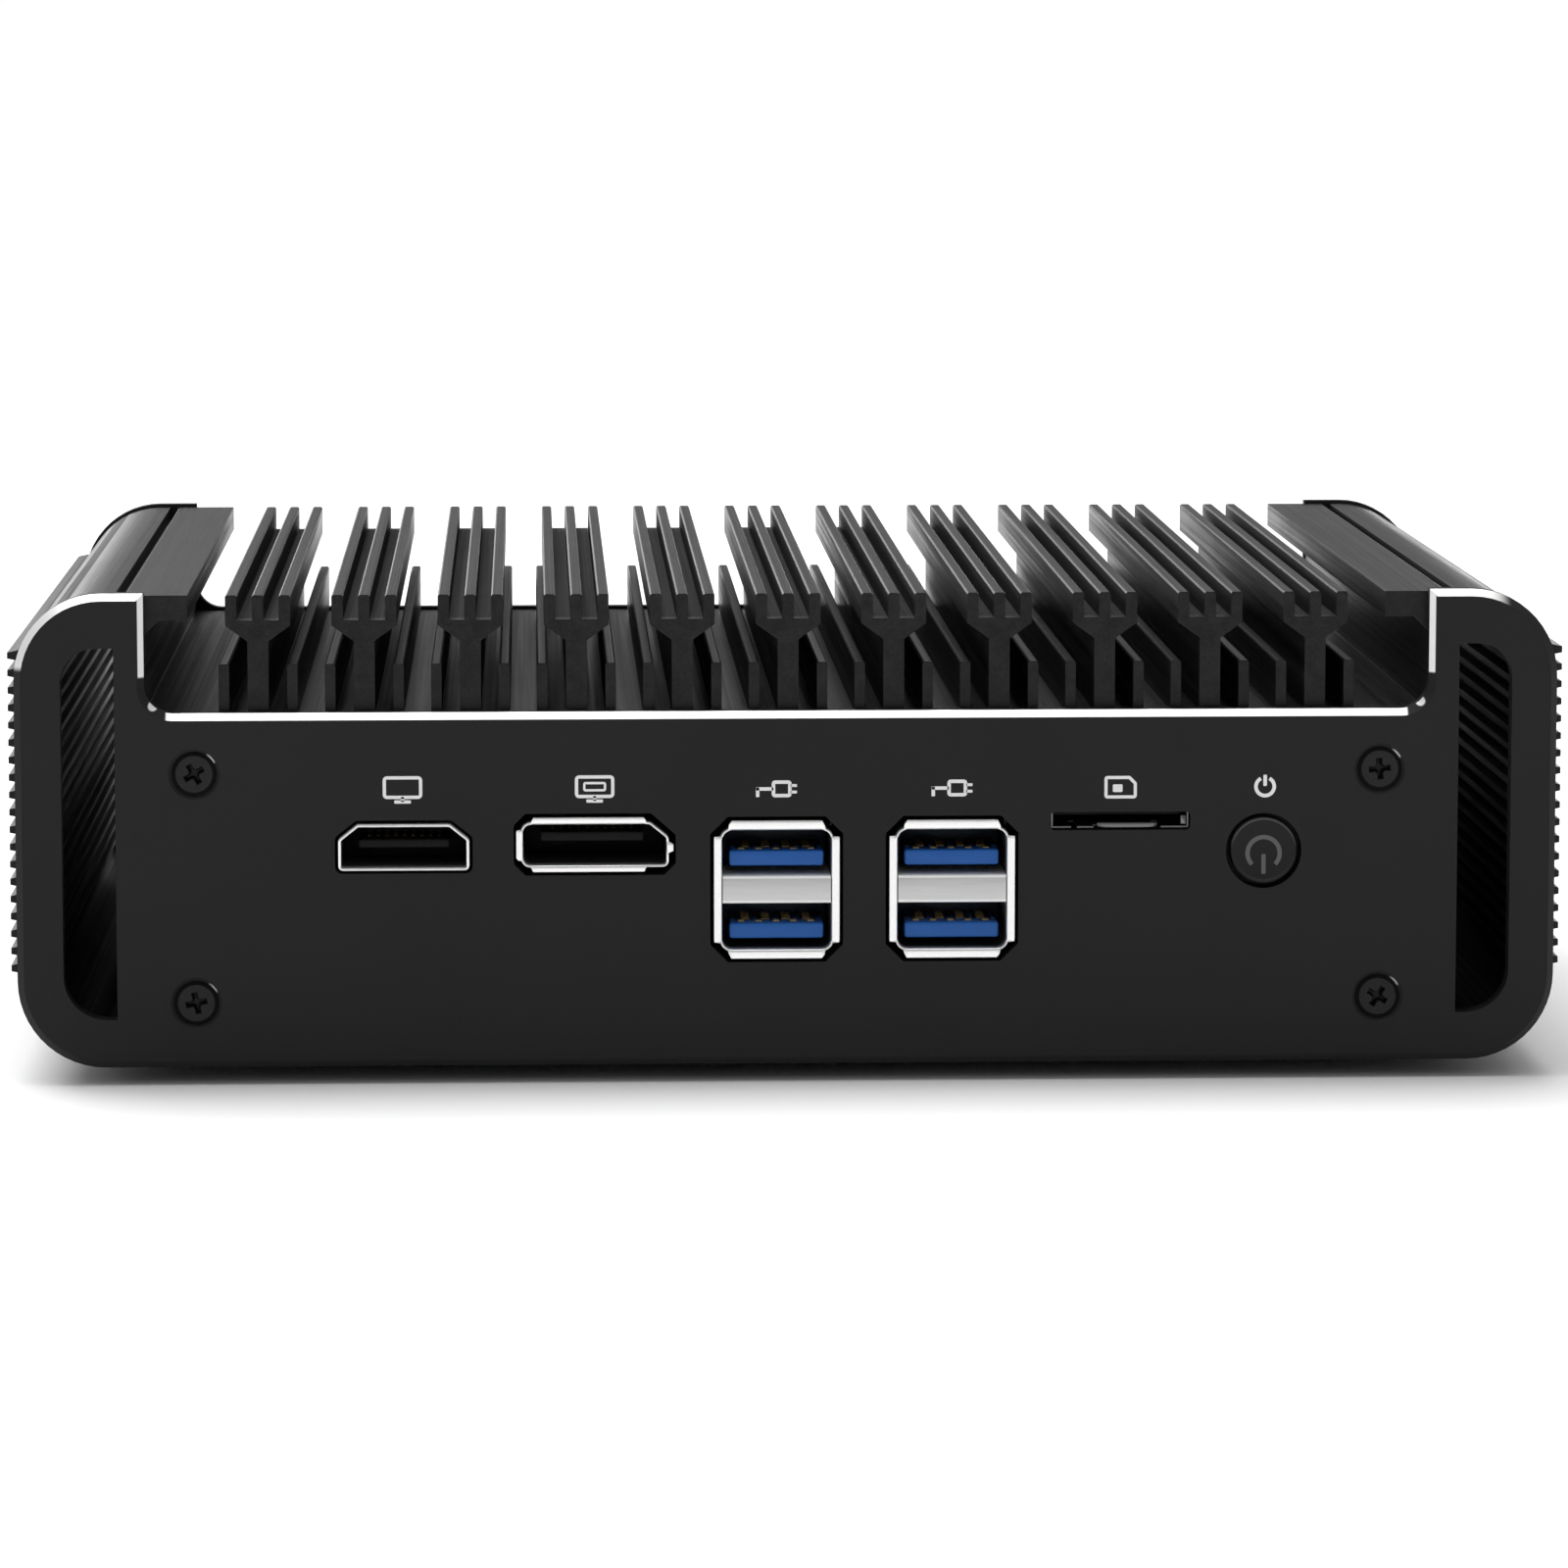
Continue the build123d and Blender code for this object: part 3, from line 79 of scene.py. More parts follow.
# ---- places, in millimetres: x from the middle of the width, y from the middle of the depth, z from the ground
FRONT_FACE = cad_box("front_panel")[0][1]
REAR_FACE = cad_box("rear_panel")[1][1]
BODY_LOW, BODY_HIGH = cad_box("heatsink_body")
SOCKET_MOUTH = cad_box("usb_left_shell")[0][1]
SCREW_RADIUS = 2.65
SCREW_LOW, SCREW_HIGH = cad_box("front_panel_screws")
SCREW_X = SCREW_HIGH[0] - SCREW_RADIUS
SCREW_Z = (SCREW_LOW[2] + SCREW_RADIUS, SCREW_HIGH[2] - SCREW_RADIUS)
BUTTON_LOW, BUTTON_HIGH = cad_box("power_button_cap")
BUTTON_X = (BUTTON_LOW[0] + BUTTON_HIGH[0]) / 2
BUTTON_Z = (BUTTON_LOW[2] + BUTTON_HIGH[2]) / 2

# the notch in a plate's upper edge, and the shoulder of its outline, where its painted edge highlight ends
NOTCH_FLOOR = 42.8
NOTCH_SIDE = 73.4
NOTCH_CORNER_X, NOTCH_CORNER_Z = 71.0, 46.9
NOTCH_GLINT_X, NOTCH_GLINT_Z = 72.4, 43.65
SHOULDER_X, SHOULDER_Z = 85.0, 47.6

# an air duct, the heights between which its painted shade lightens and its ribs' flanks get a painted highlight,
# and the grooves of a group of fins
DUCT_INNER, DUCT_OUTER, DUCT_FLOOR, DUCT_TOP = 76.4, 85.1, 6.7, 51.8
DUCT_DARK, DUCT_LIT = 24.0, 34.0
GROUP_PITCH = 12.1
GROOVE_INNER, GROOVE_OUTER, GROOVE_FLOOR, GROOVE_TOP = 0.65, 2.4, BODY_HIGH[2] - 2.9, BODY_HIGH[2]

LAN_NODES = ("lan_1_shell", "lan_2_shell", "lan_3_shell", "lan_4_shell")


def middle_x(node):
    """The middle of a CAD node's width."""
    low, high = cad_box(node)
    return (low[0] + high[0]) / 2


# ---- surfaces
class Surface:
    """Points in millimetres with four-sided faces and flat end caps. Adding two surfaces joins them."""

    def __init__(self, points, quads, caps=()):
        self.points = np.asarray(points, float).reshape(-1, 3)
        self.quads = np.asarray(quads, int).reshape(-1, 4)
        self.caps = [np.asarray(cap, int) for cap in caps]

    def __add__(self, other):
        step = len(self.points)
        points = np.vstack([self.points, other.points])
        quads = np.vstack([self.quads, other.quads + step])
        return Surface(points, quads, self.caps + [cap + step for cap in other.caps])

    def outward(self):
        """Turns every face outwards: the sum of a . (b x c) over the triangles is six times the volume."""
        fans = [np.column_stack([np.full(len(cap) - 2, cap[0]), cap[1:-1], cap[2:]]) for cap in self.caps]
        corners = np.vstack([self.quads[:, [0, 1, 2]], self.quads[:, [0, 2, 3]]] + fans)
        a, b, c = (self.points[corners[:, i]] for i in range(3))
        if np.einsum("ij,ij->", a, np.cross(b, c)) < 0:
            self.quads = self.quads[:, ::-1]
            self.caps = [cap[::-1] for cap in self.caps]
        return self

    def moved(self, x, y):
        """A copy shifted by x and y."""
        return Surface(self.points + np.array([x, y, 0.0]), self.quads, self.caps)

    def turned(self, degrees):
        """A copy turned about its height axis."""
        a = np.radians(degrees)
        turn = np.array([[np.cos(a), -np.sin(a), 0], [np.sin(a), np.cos(a), 0], [0, 0, 1]])
        return Surface(self.points @ turn.T, self.quads, self.caps)

    def grown(self, factor):
        """A copy whose first two coordinates are multiplied by a factor."""
        return Surface(self.points * np.array([factor, factor, 1.0]), self.quads, self.caps)

    def facing(self, way, x, y, z):
        """Lays a surface made with its outside along +Z on a wall that looks that way, at x, y, z."""
        p, q, h = self.points.T
        turned = {
            "front": (p, -h, q), "rear": (-p, h, q), "down": (p, -q, -h), "up": (p, q, h),
            "right": (h, p, q), "left": (-h, -p, q),
        }[way]
        return Surface(np.column_stack(turned) + np.array([x, y, z]), self.quads, self.caps).outward()


def joined(surfaces):
    """All the surfaces as one."""
    surfaces = list(surfaces)
    total = surfaces[0]
    for surface in surfaces[1:]:
        total = total + surface
    return total


def grid(points, wrap_u=False, wrap_v=True, caps=False):
    """Joins an n by m array of points to its neighbours with four-sided faces."""
    n, m = points.shape[:2]
    index = np.arange(n * m).reshape(n, m)
    ends = [index[0], index[-1][::-1]] if caps else []
    if wrap_u:
        index = np.vstack([index, index[:1]])
    if wrap_v:
        index = np.hstack([index, index[:, :1]])
    quads = np.stack([index[:-1, :-1], index[1:, :-1], index[1:, 1:], index[:-1, 1:]], axis=-1)
    return Surface(points, quads, ends).outward()


def smooth(low, high, value):
    """Smooth step: with t the value's share of the way from low to high, cut to 0..1, it is t t (3 - 2 t)."""
    t = np.clip((value - low) / (high - low), 0.0, 1.0)
    return t * t * (3.0 - 2.0 * t)


def arc(radius, start, end, steps, centre=(0.0, 0.0)):
    """Points at centre + radius (cos a, sin a), with a going from start to end in degrees."""
    a = np.radians(np.linspace(start, end, steps))
    return np.column_stack([centre[0] + radius * np.cos(a), centre[1] + radius * np.sin(a)])


def outline(corners, radius, steps=5):
    """A counter-clockwise polygon with rounded corners: its points, and the outward direction at each.

    Round a corner, the direction turns evenly from one side's normal to the next, and the point lies
    radius times it from the arc's centre, which is corner - radius (n0 + n1) / (1 + n0 . n1).
    """
    corners = np.asarray(corners, float)
    radius = np.broadcast_to(radius, len(corners))
    along = np.roll(corners, -1, axis=0) - corners
    along /= np.linalg.norm(along, axis=1)[:, None]
    after = np.column_stack([along[:, 1], -along[:, 0]])
    before = np.roll(after, 1, axis=0)
    turn = np.arctan2(before[:, 0] * after[:, 1] - before[:, 1] * after[:, 0], np.sum(before * after, axis=1))
    signed = radius * np.sign(turn)
    centre = corners - signed[:, None] * (before + after) / (1.0 + np.sum(before * after, axis=1))[:, None]
    angle = np.arctan2(before[:, 1], before[:, 0])[:, None] + turn[:, None] * np.linspace(0, 1, steps)
    normal = np.stack([np.cos(angle), np.sin(angle)], axis=-1)
    return (centre[:, None, :] + signed[:, None, None] * normal).reshape(-1, 2), normal.reshape(-1, 2)


def box_corners(half_p, half_q, p=0.0, q=0.0):
    """The corners of a rectangle round p, q, counter-clockwise."""
    return [(p - half_p, q - half_q), (p + half_p, q - half_q), (p + half_p, q + half_q), (p - half_p, q + half_q)]


def resampled(shape, count):
    """An outline's points and directions at evenly spaced lengths along it."""
    points, normals = (np.vstack([part, part[:1]]) for part in shape)
    length = np.concatenate([[0], np.cumsum(np.linalg.norm(np.diff(points, axis=0), axis=1))])
    at = np.linspace(0, length[-1], count, endpoint=False)
    spread = [np.column_stack([np.interp(at, length, part[:, i]) for i in (0, 1)]) for part in (points, normals)]
    return spread[0], spread[1] / np.linalg.norm(spread[1], axis=1)[:, None]


def lifted(shape, profile, axis):
    """Points of an outline's places and a profile's (offset, height) rows: point + offset normal, at that height.

    axis says which of the two the outline runs along: 0 for down the rows, and 1 for across them.
    """
    points, normals = (np.expand_dims(part, 1 - axis) for part in shape)
    profile = np.expand_dims(np.asarray(profile, float), axis)
    flat = points + normals * profile[..., :1]
    return np.concatenate([flat, np.broadcast_to(profile[..., 1:], flat.shape[:2] + (1,))], axis=-1)


def walls(shape, profile):
    """A closed profile of (offset, height) points carried round an outline."""
    return grid(lifted(shape, profile, 0), wrap_u=True)


def block(shape, low, high, soft=0.15, steps=4):
    """An outline raised from height low to high, its rims rounded by quarter circles of radius soft."""
    rise = arc(soft, -90, 0, steps, (-soft, low + soft))
    fall = arc(soft, 0, 90, steps, (-soft, high - soft))
    return grid(lifted(shape, np.vstack([rise, fall]), 1), caps=True)


def strip(centre, thick):
    """The closed outline of a sheet of that thickness whose middle line is given, with round ends."""
    centre = np.asarray(centre, float)
    along = np.gradient(centre, axis=0)
    along /= np.linalg.norm(along, axis=1)[:, None]
    normal = np.column_stack([along[:, 1], -along[:, 0]]) * thick / 2
    heading = np.degrees(np.arctan2(along[[0, -1], 1], along[[0, -1], 0]))
    end = arc(thick / 2, heading[1] - 60, heading[1] + 60, 3, centre[-1])
    start = arc(thick / 2, heading[0] + 120, heading[0] + 240, 3, centre[0])
    return np.vstack([centre + normal, end, (centre - normal)[::-1], start])


def revolved(profile, sides):
    """The coordinates of a (radius, height) profile turned about the height axis: r cos a, r sin a and h."""
    a = np.linspace(0, 2 * np.pi, sides, endpoint=False)
    r, h = np.hsplit(np.asarray(profile, float), 2)
    return r * np.cos(a), r * np.sin(a), np.broadcast_to(h, (len(profile), sides))


def lathe(profile, sides):
    """Turns (radius, height) points about the height axis."""
    return grid(np.stack(revolved(profile, sides), axis=-1))


def carried(profile, path, side):
    """A closed profile of (a, b) points carried along a path in a plane: path + a n + b side.

    side is the plane's normal, and n is the path's direction turned a quarter round it.
    """
    profile, path, side = (np.asarray(v, float) for v in (profile, path, side))
    along = np.gradient(path, axis=0)
    along /= np.linalg.norm(along, axis=1)[:, None]
    normal = np.cross(along, side)
    points = path[:, None, :] + profile[None, :, :1] * normal[:, None, :] + profile[None, :, 1:] * side
    return grid(points, caps=True)


# ---- shader maths
class Value:
    """A shader socket. Arithmetic on it adds Math nodes, and the answer is another Value."""

    def __init__(self, finish, socket):
        self.finish = finish
        self.socket = socket

    def math(self, operation, *values):
        """A Math node on these values."""
        return self.finish.add("ShaderNodeMath", {"operation": operation}, dict(enumerate(values)))

    def __add__(self, other):
        return self.math("ADD", self, other)

    def __radd__(self, other):
        return self.math("ADD", other, self)

    def __sub__(self, other):
        return self.math("SUBTRACT", self, other)

    def __rsub__(self, other):
        return self.math("SUBTRACT", other, self)

    def __mul__(self, other):
        return self.math("MULTIPLY", self, other)

    def __rmul__(self, other):
        return self.math("MULTIPLY", other, self)

    def __truediv__(self, other):
        return self.math("DIVIDE", self, other)

    def __pow__(self, other):
        return self.math("POWER", self, other)

    def __abs__(self):
        return self.math("ABSOLUTE", self)

    def least(self, other):
        """The smaller of two values."""
        return self.math("MINIMUM", self, other)

    def sine(self):
        """The sine of the value, in radians."""
        return self.math("SINE", self)

    def over(self, low, high):
        """Smooth step: 0 up to low and 1 from high, or the other way round if low is the greater."""
        rising = low < high
        limits = {1: min(low, high), 2: max(low, high), 3: 0.0 if rising else 1.0, 4: 1.0 if rising else 0.0}
        return self.finish.add("ShaderNodeMapRange", {"interpolation_type": "SMOOTHSTEP"}, {0: self, **limits})

    def within(self, start, full, fade, end):
        """A band: 0 before start and past end, 1 from full to fade, and smooth steps between."""
        return self.over(start, full) * self.over(end, fade)


class Finish:
    """A material: one Principled shader, and the nodes that feed it."""

    def __init__(self, name):
        self.material = bpy.data.materials.new(name)
        self.material.use_nodes = True
        self.nodes = self.material.node_tree.nodes
        self.links = self.material.node_tree.links
        self.shader = self.nodes["Principled BSDF"]

    def put(self, socket, value):
        """Links a Value to a socket, or sets a number, colour or vector on it."""
        if isinstance(value, Value):
            self.links.new(value.socket, socket)
        elif isinstance(value, (tuple, list)) and len(value) == 3 and len(socket.default_value) == 4:
            socket.default_value = (*value, 1.0)
        else:
            socket.default_value = value

    def add(self, kind, settings=None, inputs=None, output=0):
        """A node of that type: its settings are set first, and then its sockets' values or links."""
        node = self.nodes.new(kind)
        for name, value in (settings or {}).items():
            setattr(node, name, value)
        for key, value in (inputs or {}).items():
            self.put(node.inputs[key], value)
        return Value(self, node.outputs[output])

    def look(self, **inputs):
        """Sets the shader's sockets by name, with underscores for spaces, and returns the material."""
        for name, value in inputs.items():
            self.put(self.shader.inputs[name.replace("_", " ")], value)
        return self.material

    def place(self):
        """Object coordinates, in metres."""
        return self.add("ShaderNodeTexCoord", output="Object")

    def axes(self, vector):
        """The three parts of a vector or a colour."""
        node = self.add("ShaderNodeSeparateXYZ", inputs={0: vector}).socket.node
        return [Value(self, out) for out in node.outputs]

    def place_axes(self):
        """The three Object coordinates, in metres."""
        return self.axes(self.place())

    def normal_axes(self):
        """The three parts of the surface's direction."""
        return self.axes(self.add("ShaderNodeTexCoord", output="Normal"))

    def stretched(self, x, y, z):
        """Object coordinates times a scale of their own along each axis."""
        return self.add("ShaderNodeVectorMath", {"operation": "MULTIPLY"}, {0: self.place(), 1: (x, y, z)})

    def noise(self, vector, scale=1.0, detail=3.0, rough=0.5):
        """Noise from 0 to 1."""
        return self.add("ShaderNodeTexNoise", inputs={
            "Vector": vector, "Scale": scale, "Detail": detail, "Roughness": rough})

    def mix(self, share, first, second):
        """A colour between two."""
        return self.add("ShaderNodeMix", {"data_type": "RGBA"}, {0: share, 6: first, 7: second}, output=2)

    def bump(self, height, depth, strength=1.0, edge=0.0):
        """The normal of a height that swings by depth, in metres, over edges rounded by a radius."""
        inputs = {"Strength": strength, "Distance": depth, "Height": height}
        if edge:
            inputs["Normal"] = self.add("ShaderNodeBevel", {"samples": 6}, {"Radius": edge})
        return self.add("ShaderNodeBump", inputs=inputs)


def scaled(colour, factor):
    """A colour made lighter or darker."""
    return tuple(min(1.0, part * factor) for part in colour[:3])


# ---- what a user may change
COLOUR = {"subtype": "COLOR", "size": 3, "min": 0, "max": 1}
LENGTH = {"subtype": "DISTANCE", "unit": "LENGTH"}
POWER = {"subtype": "POWER", "unit": "POWER", "min": 0, "max": 500}


class CaseFinishes(bpy.types.PropertyGroup):
    """Colours of the case and its plates."""

    case: FloatVectorProperty(
        name="Case", description="Dye of the anodised extrusion", **COLOUR,
        default=(0.0075, 0.0075, 0.0078))
    plate: FloatVectorProperty(
        name="Plates", description="Dye of the anodised end plates", **COLOUR,
        default=(0.0136, 0.0136, 0.0140))
    # bare metal colour, painted only where the upper cut edges catch the light: a painted highlight
    painted_edge_highlight: FloatVectorProperty(
        name="Bright edge", description="Bare metal of the cut upper edges", **COLOUR,
        default=(0.93, 0.93, 0.92))
    ink: FloatVectorProperty(
        name="Ink", description="Colour of the printed signs", **COLOUR,
        default=(0.82, 0.82, 0.82))
    grain: FloatProperty(
        name="Blast grain", description="Size of the bead-blasted grain", **LENGTH,
        default=0.00016, min=0.00002, max=0.001)


class SocketSizes(bpy.types.PropertyGroup):
    """Sheet metal and mouldings of the sockets, in metres."""

    sheet: FloatProperty(
        name="Sheet", description="Thickness of a socket's folded shell", **LENGTH,
        default=0.00028, min=0.0001, max=0.0006)
    lip: FloatProperty(
        name="Lip", description="How far a flared lip reaches over the plate", **LENGTH,
        default=0.0008, min=0.0002, max=0.0012)
    tongue: FloatVectorProperty(
        name="Tongue", description="Colour of the double sockets' mouldings", **COLOUR,
        default=(0.013, 0.098, 0.365))


class PrintSizes(bpy.types.PropertyGroup):
    """Sizes of the printed signs, in metres."""

    line: FloatProperty(
        name="Line", description="Width of a sign's lines", **LENGTH,
        default=0.00032, min=0.0001, max=0.001)
    thick: FloatProperty(
        name="Film", description="Thickness of the ink", **LENGTH,
        default=0.00003, min=0.00001, max=0.0002)
    above: FloatProperty(
        name="Height", description="Height of the row of signs above the ground", **LENGTH,
        default=0.0339, min=0.01, max=0.05)


class StageLight(bpy.types.PropertyGroup):
    """The floor and the lights."""

    floor: FloatVectorProperty(
        name="Floor", description="Colour of the floor", **COLOUR,
        default=(0.93, 0.93, 0.932))
    sky: FloatProperty(name="Sky", description="Strength of the light from all round", default=0.37, min=0, max=5)
    wide: FloatProperty(
        name="Wide light", description="Strength of the wide light from above", default=2.5, min=0, max=20)
    top: FloatProperty(
        name="Top light", description="Power of the overhead softbox", **POWER,
        default=7.0)
    rim: FloatProperty(
        name="Rim light", description="Power of the softbox low behind on the left", **POWER,
        default=8.5)
    low: FloatProperty(
        name="Low light", description="Power of the softbox near the horizon on the right", **POWER,
        default=1.5)


# ---- materials
def extrusion_finish(colours):
    """Black anodised extrusion: die lines along the case, a blasted grain, and edges that catch the light.

    Painted shade darkens the ducts, less in their upper part, and the grooves between the fins of a group, but for
    their first few millimetres; the upper flanks of the ducts' ribs get a painted highlight instead. The shaded
    places are also rougher. How far a place is from the middle of the nearest group is a triangle wave of its x,
    with the groups' pitch as its period.
    """
    f = Finish("anodised_extrusion")
    fine = f.noise(f.stretched(2600, 12, 2600), detail=4)
    broad = f.noise(f.stretched(620, 5, 620), detail=3)
    lines = (fine * 0.5 + broad * 0.5).over(0.32, 0.68)
    cloud = f.noise(f.place(), 55, 4)
    grain = f.noise(f.place(), 1 / colours.grain, 2)
    colour = f.mix(lines * 0.8 + cloud * 0.2, scaled(colours.case, 0.3), scaled(colours.case, 2.4))
    x, y, z = (part / MM for part in f.place_axes())
    duct = abs(x).within(DUCT_INNER, DUCT_INNER + 0.3, DUCT_OUTER, DUCT_OUTER + 0.3)
    duct = duct * z.within(DUCT_FLOOR - 0.3, DUCT_FLOOR, DUCT_TOP, DUCT_TOP + 0.3)
    high = z.over(DUCT_DARK, DUCT_LIT)
    # painted highlight mask: the upward flanks of the ribs in the ducts' upper part
    painted_flank_highlight = duct * high * f.normal_axes()[2].over(0.6, 0.9)
    off = x.math("PINGPONG", x, GROUP_PITCH / 2)
    groove = off.within(GROOVE_INNER - 0.05, GROOVE_INNER + 0.05, GROOVE_OUTER - 0.05, GROOVE_OUTER + 0.05)
    groove = groove * z.within(GROOVE_FLOOR - 0.3, GROOVE_FLOOR - 0.1, GROOVE_TOP - 0.5, GROOVE_TOP)
    groove = groove * y.over(BODY_LOW[1] + 0.5, BODY_LOW[1] + 4.0)
    # painted shade: the ducts, less in their upper part, and the grooves between the fins of a group
    painted_shade = (duct * (1 - 0.7 * high) + groove * 0.9) * (1 - painted_flank_highlight)
    colour = f.mix(painted_shade, colour, scaled(colours.case, 0.3))
    # the painted highlight lightens the ribs' upper flanks
    colour = f.mix(painted_flank_highlight, colour, scaled(colours.case, 14))
    relief = grain * 0.4 + fine * 0.3 + broad * 0.6
    rough = 0.24 + 0.18 * lines + 0.08 * cloud + 0.3 * painted_shade
    return f.look(Base_Color=colour, Roughness=rough, Metallic=painted_flank_highlight * 0.2, Specular_IOR_Level=0.18,
                  Normal=f.bump(relief, 0.000016, 0.7, 0.00014))


def plate_finish(name, colours, side=1):
    """Black anodised plate with a blasted face; its upper cut edge is bare metal painted where it catches the
    light, a painted highlight, and the rest of it is black.

    The painted edge highlight lies where the normal leans halfway out of the face, away from the four countersinks.
    It is left out again in the notch's two corners, but for a painted glint at the middle of each, on the outer
    side of the notch's upright edges, on the shoulders, and round the corner on the right of someone who faces the
    plate.
    A painted glint arc shines at the upper right of each countersink, on the wall that faces the light.
    """
    f = Finish(name)
    x, _, z = f.place_axes()
    normal_x, normal_y, normal_z = f.normal_axes()
    sloped = abs(normal_y).within(0.25, 0.4, 0.85, 0.97)
    across, height = abs(x) / MM, z / MM
    upper = (across - SCREW_X) ** 2 + (height - SCREW_Z[1]) ** 2
    lower = (across - SCREW_X) ** 2 + (height - SCREW_Z[0]) ** 2
    clear = upper.least(lower).over(9.5, 11.0)
    raised = height.over(NOTCH_FLOOR - 1.6, NOTCH_FLOOR - 1.2)
    shoulder = across.over(SHOULDER_X - 1.0, SHOULDER_X) * height.over(SHOULDER_Z + 0.8, SHOULDER_Z)
    outer = (1 - shoulder) * (x / MM * side).over(82.8, 80.8)
    corner = across.within(NOTCH_CORNER_X - 0.2, NOTCH_CORNER_X + 0.1, NOTCH_SIDE + 2.6, NOTCH_SIDE + 3.1)
    corner = corner * height.over(NOTCH_CORNER_Z + 0.2, NOTCH_CORNER_Z - 0.1)
    glint = ((across - NOTCH_GLINT_X) ** 2 + (height - NOTCH_GLINT_Z) ** 2).over(0.4, 0.2)
    upright = abs(normal_x).over(0.4, 0.5)
    upright = upright * across.within(NOTCH_SIDE + 0.6, NOTCH_SIDE + 0.7, NOTCH_SIDE + 3.6, NOTCH_SIDE + 4.6)
    # painted highlight on the upper cut edges, left out where they face away from the light
    bright = sloped * clear * raised * outer * (1 - corner * (1 - glint)) * (1 - upright)
    # painted glint on the upper right wall of each countersink
    painted_countersink_glint = upper.least(lower).over(8.0, 7.4) * (normal_x * side).over(-0.35, -0.5) * normal_z.over(-0.3, -0.4)
    bright = bright + painted_countersink_glint * 0.6
    grain = f.noise(f.place(), 1 / colours.grain, 2)
    cloud = f.noise(f.place(), 70, 3)
    dye = f.mix(cloud, scaled(colours.plate, 0.85), scaled(colours.plate, 1.2))
    cut = f.noise(f.stretched(900, 900, 900), detail=2)
    metal = f.mix(cut, scaled(colours.painted_edge_highlight, 0.92), colours.painted_edge_highlight[:3])
    rough = (0.52 + 0.1 * cloud) * (1 - bright) + 0.3 * bright
    return f.look(Base_Color=f.mix(bright, dye, metal), Roughness=rough, Metallic=bright * 0.45,
                  Specular_IOR_Level=0.17, Normal=f.bump(grain, 0.000008, 0.5, 0.00008))


def metal_finish(name, colour, rough, lines, depth=0.000004, edge=0.0):
    """Plain metal with fine lines in it: longer lines where a scale is smaller."""
    f = Finish(name)
    wear = f.noise(f.stretched(*lines), detail=4)
    cloud = f.noise(f.place(), 120, 3)
    shade = f.mix(wear * 0.5 + cloud * 0.5, scaled(colour, 0.82), scaled(colour, 1.08))
    return f.look(Base_Color=shade, Metallic=1.0, Roughness=rough * 0.8 + 0.4 * rough * wear,
                  Normal=f.bump(wear, depth, 0.5, edge))


def screw_finish(name, colour):
    """Blackened steel, duller on the sloping rim of a head than on its face, and darker there as painted shade."""
    f = Finish(name)
    _, normal_y, normal_z = f.normal_axes()
    face = 1 - (1 - abs(normal_y).over(0.86, 0.97)) * (1 - abs(normal_z).over(0.86, 0.97))
    wear = f.noise(f.place(), 1400, 3)
    shade = f.mix(wear, scaled(colour, 0.7), scaled(colour, 1.4))
    # the sloping rim gets a tenth of the colour: painted shade round the head
    return f.look(Base_Color=f.mix(face, scaled(colour, 0.1), shade), Metallic=face * 0.3,
                  Roughness=0.85 - 0.4 * face + 0.1 * wear, Specular_IOR_Level=0.2,
                  Normal=f.bump(wear, 0.000005, 0.5))


def socket_finish(name, bright, painted_shade, low, high):
    """Plated sheet in a socket: bright near the end plates' faces, with painted shade that darkens it further
    inside than low to high.
    """
    f = Finish(name)
    # painted shade: the sheet darkens with its depth behind the plate's face
    inside = ((CAD_BOX[1][1] - abs(f.place_axes()[1])) / MM).over(low, high)
    wear = f.noise(f.stretched(3000, 300, 3000), detail=3)
    colour = f.mix(inside, f.mix(wear, scaled(bright, 0.86), bright), painted_shade)
    return f.look(Base_Color=colour, Metallic=0.85, Roughness=0.24 + 0.12 * wear + 0.25 * inside,
                  Normal=f.bump(wear, 0.000003, 0.5, 0.00006))


def bridge_finish():
    """Brushed nickel bar: a satin face with long fine lines, and a painted highlight on its rounded edges, near
    white and less metallic.
    """
    f = Finish("brushed_bridge")
    lines = f.noise(f.stretched(180, 3200, 3200), detail=3)
    # painted highlight: the rounded edges are lighter and less metallic
    edge = abs(f.normal_axes()[2]).over(0.1, 0.3)
    face = f.mix(lines, (0.44, 0.44, 0.44), (0.56, 0.56, 0.56))
    return f.look(Base_Color=f.mix(edge, face, (0.95, 0.95, 0.94)), Metallic=0.9 - 0.75 * edge,
                  Roughness=0.3 + 0.1 * lines, Normal=f.bump(lines, 0.000002, 0.5))


def tongue_finish(colour):
    """Blue moulding with painted shade that darkens it further down inside its socket."""
    f = Finish("blue_moulding")
    # painted shade: the moulding darkens with its depth inside the socket
    inside = ((f.place_axes()[1] - SOCKET_MOUTH * MM) / MM).over(1.6, 5.5)
    grain = f.noise(f.place(), 2600, 3)
    cloud = f.noise(f.place(), 320, 3)
    near = f.mix(cloud, scaled(colour, 0.88), scaled(colour, 1.12))
    return f.look(Base_Color=f.mix(inside, near, scaled(colour, 0.06)), Roughness=0.34 + 0.12 * grain,
                  Specular_IOR_Level=0.25, Normal=f.bump(grain, 0.000008, 0.6, 0.00008))


def moulded_finish(name, colour, rough, scale=2600, depth=0.000012, spread=0.25, edge=0.00008, gloss=0.25):
    """Moulded plastic or rubber: an even colour with a fine spark-eroded grain."""
    f = Finish(name)
    grain = f.noise(f.place(), scale, 3)
    cloud = f.noise(f.place(), 160, 3)
    shade = f.mix(cloud, scaled(colour, 1 - spread / 2), scaled(colour, 1 + spread / 2))
    return f.look(Base_Color=shade, Roughness=rough * 0.85 + 0.3 * rough * grain, Specular_IOR_Level=gloss,
                  Normal=f.bump(grain, depth, 0.6, edge))


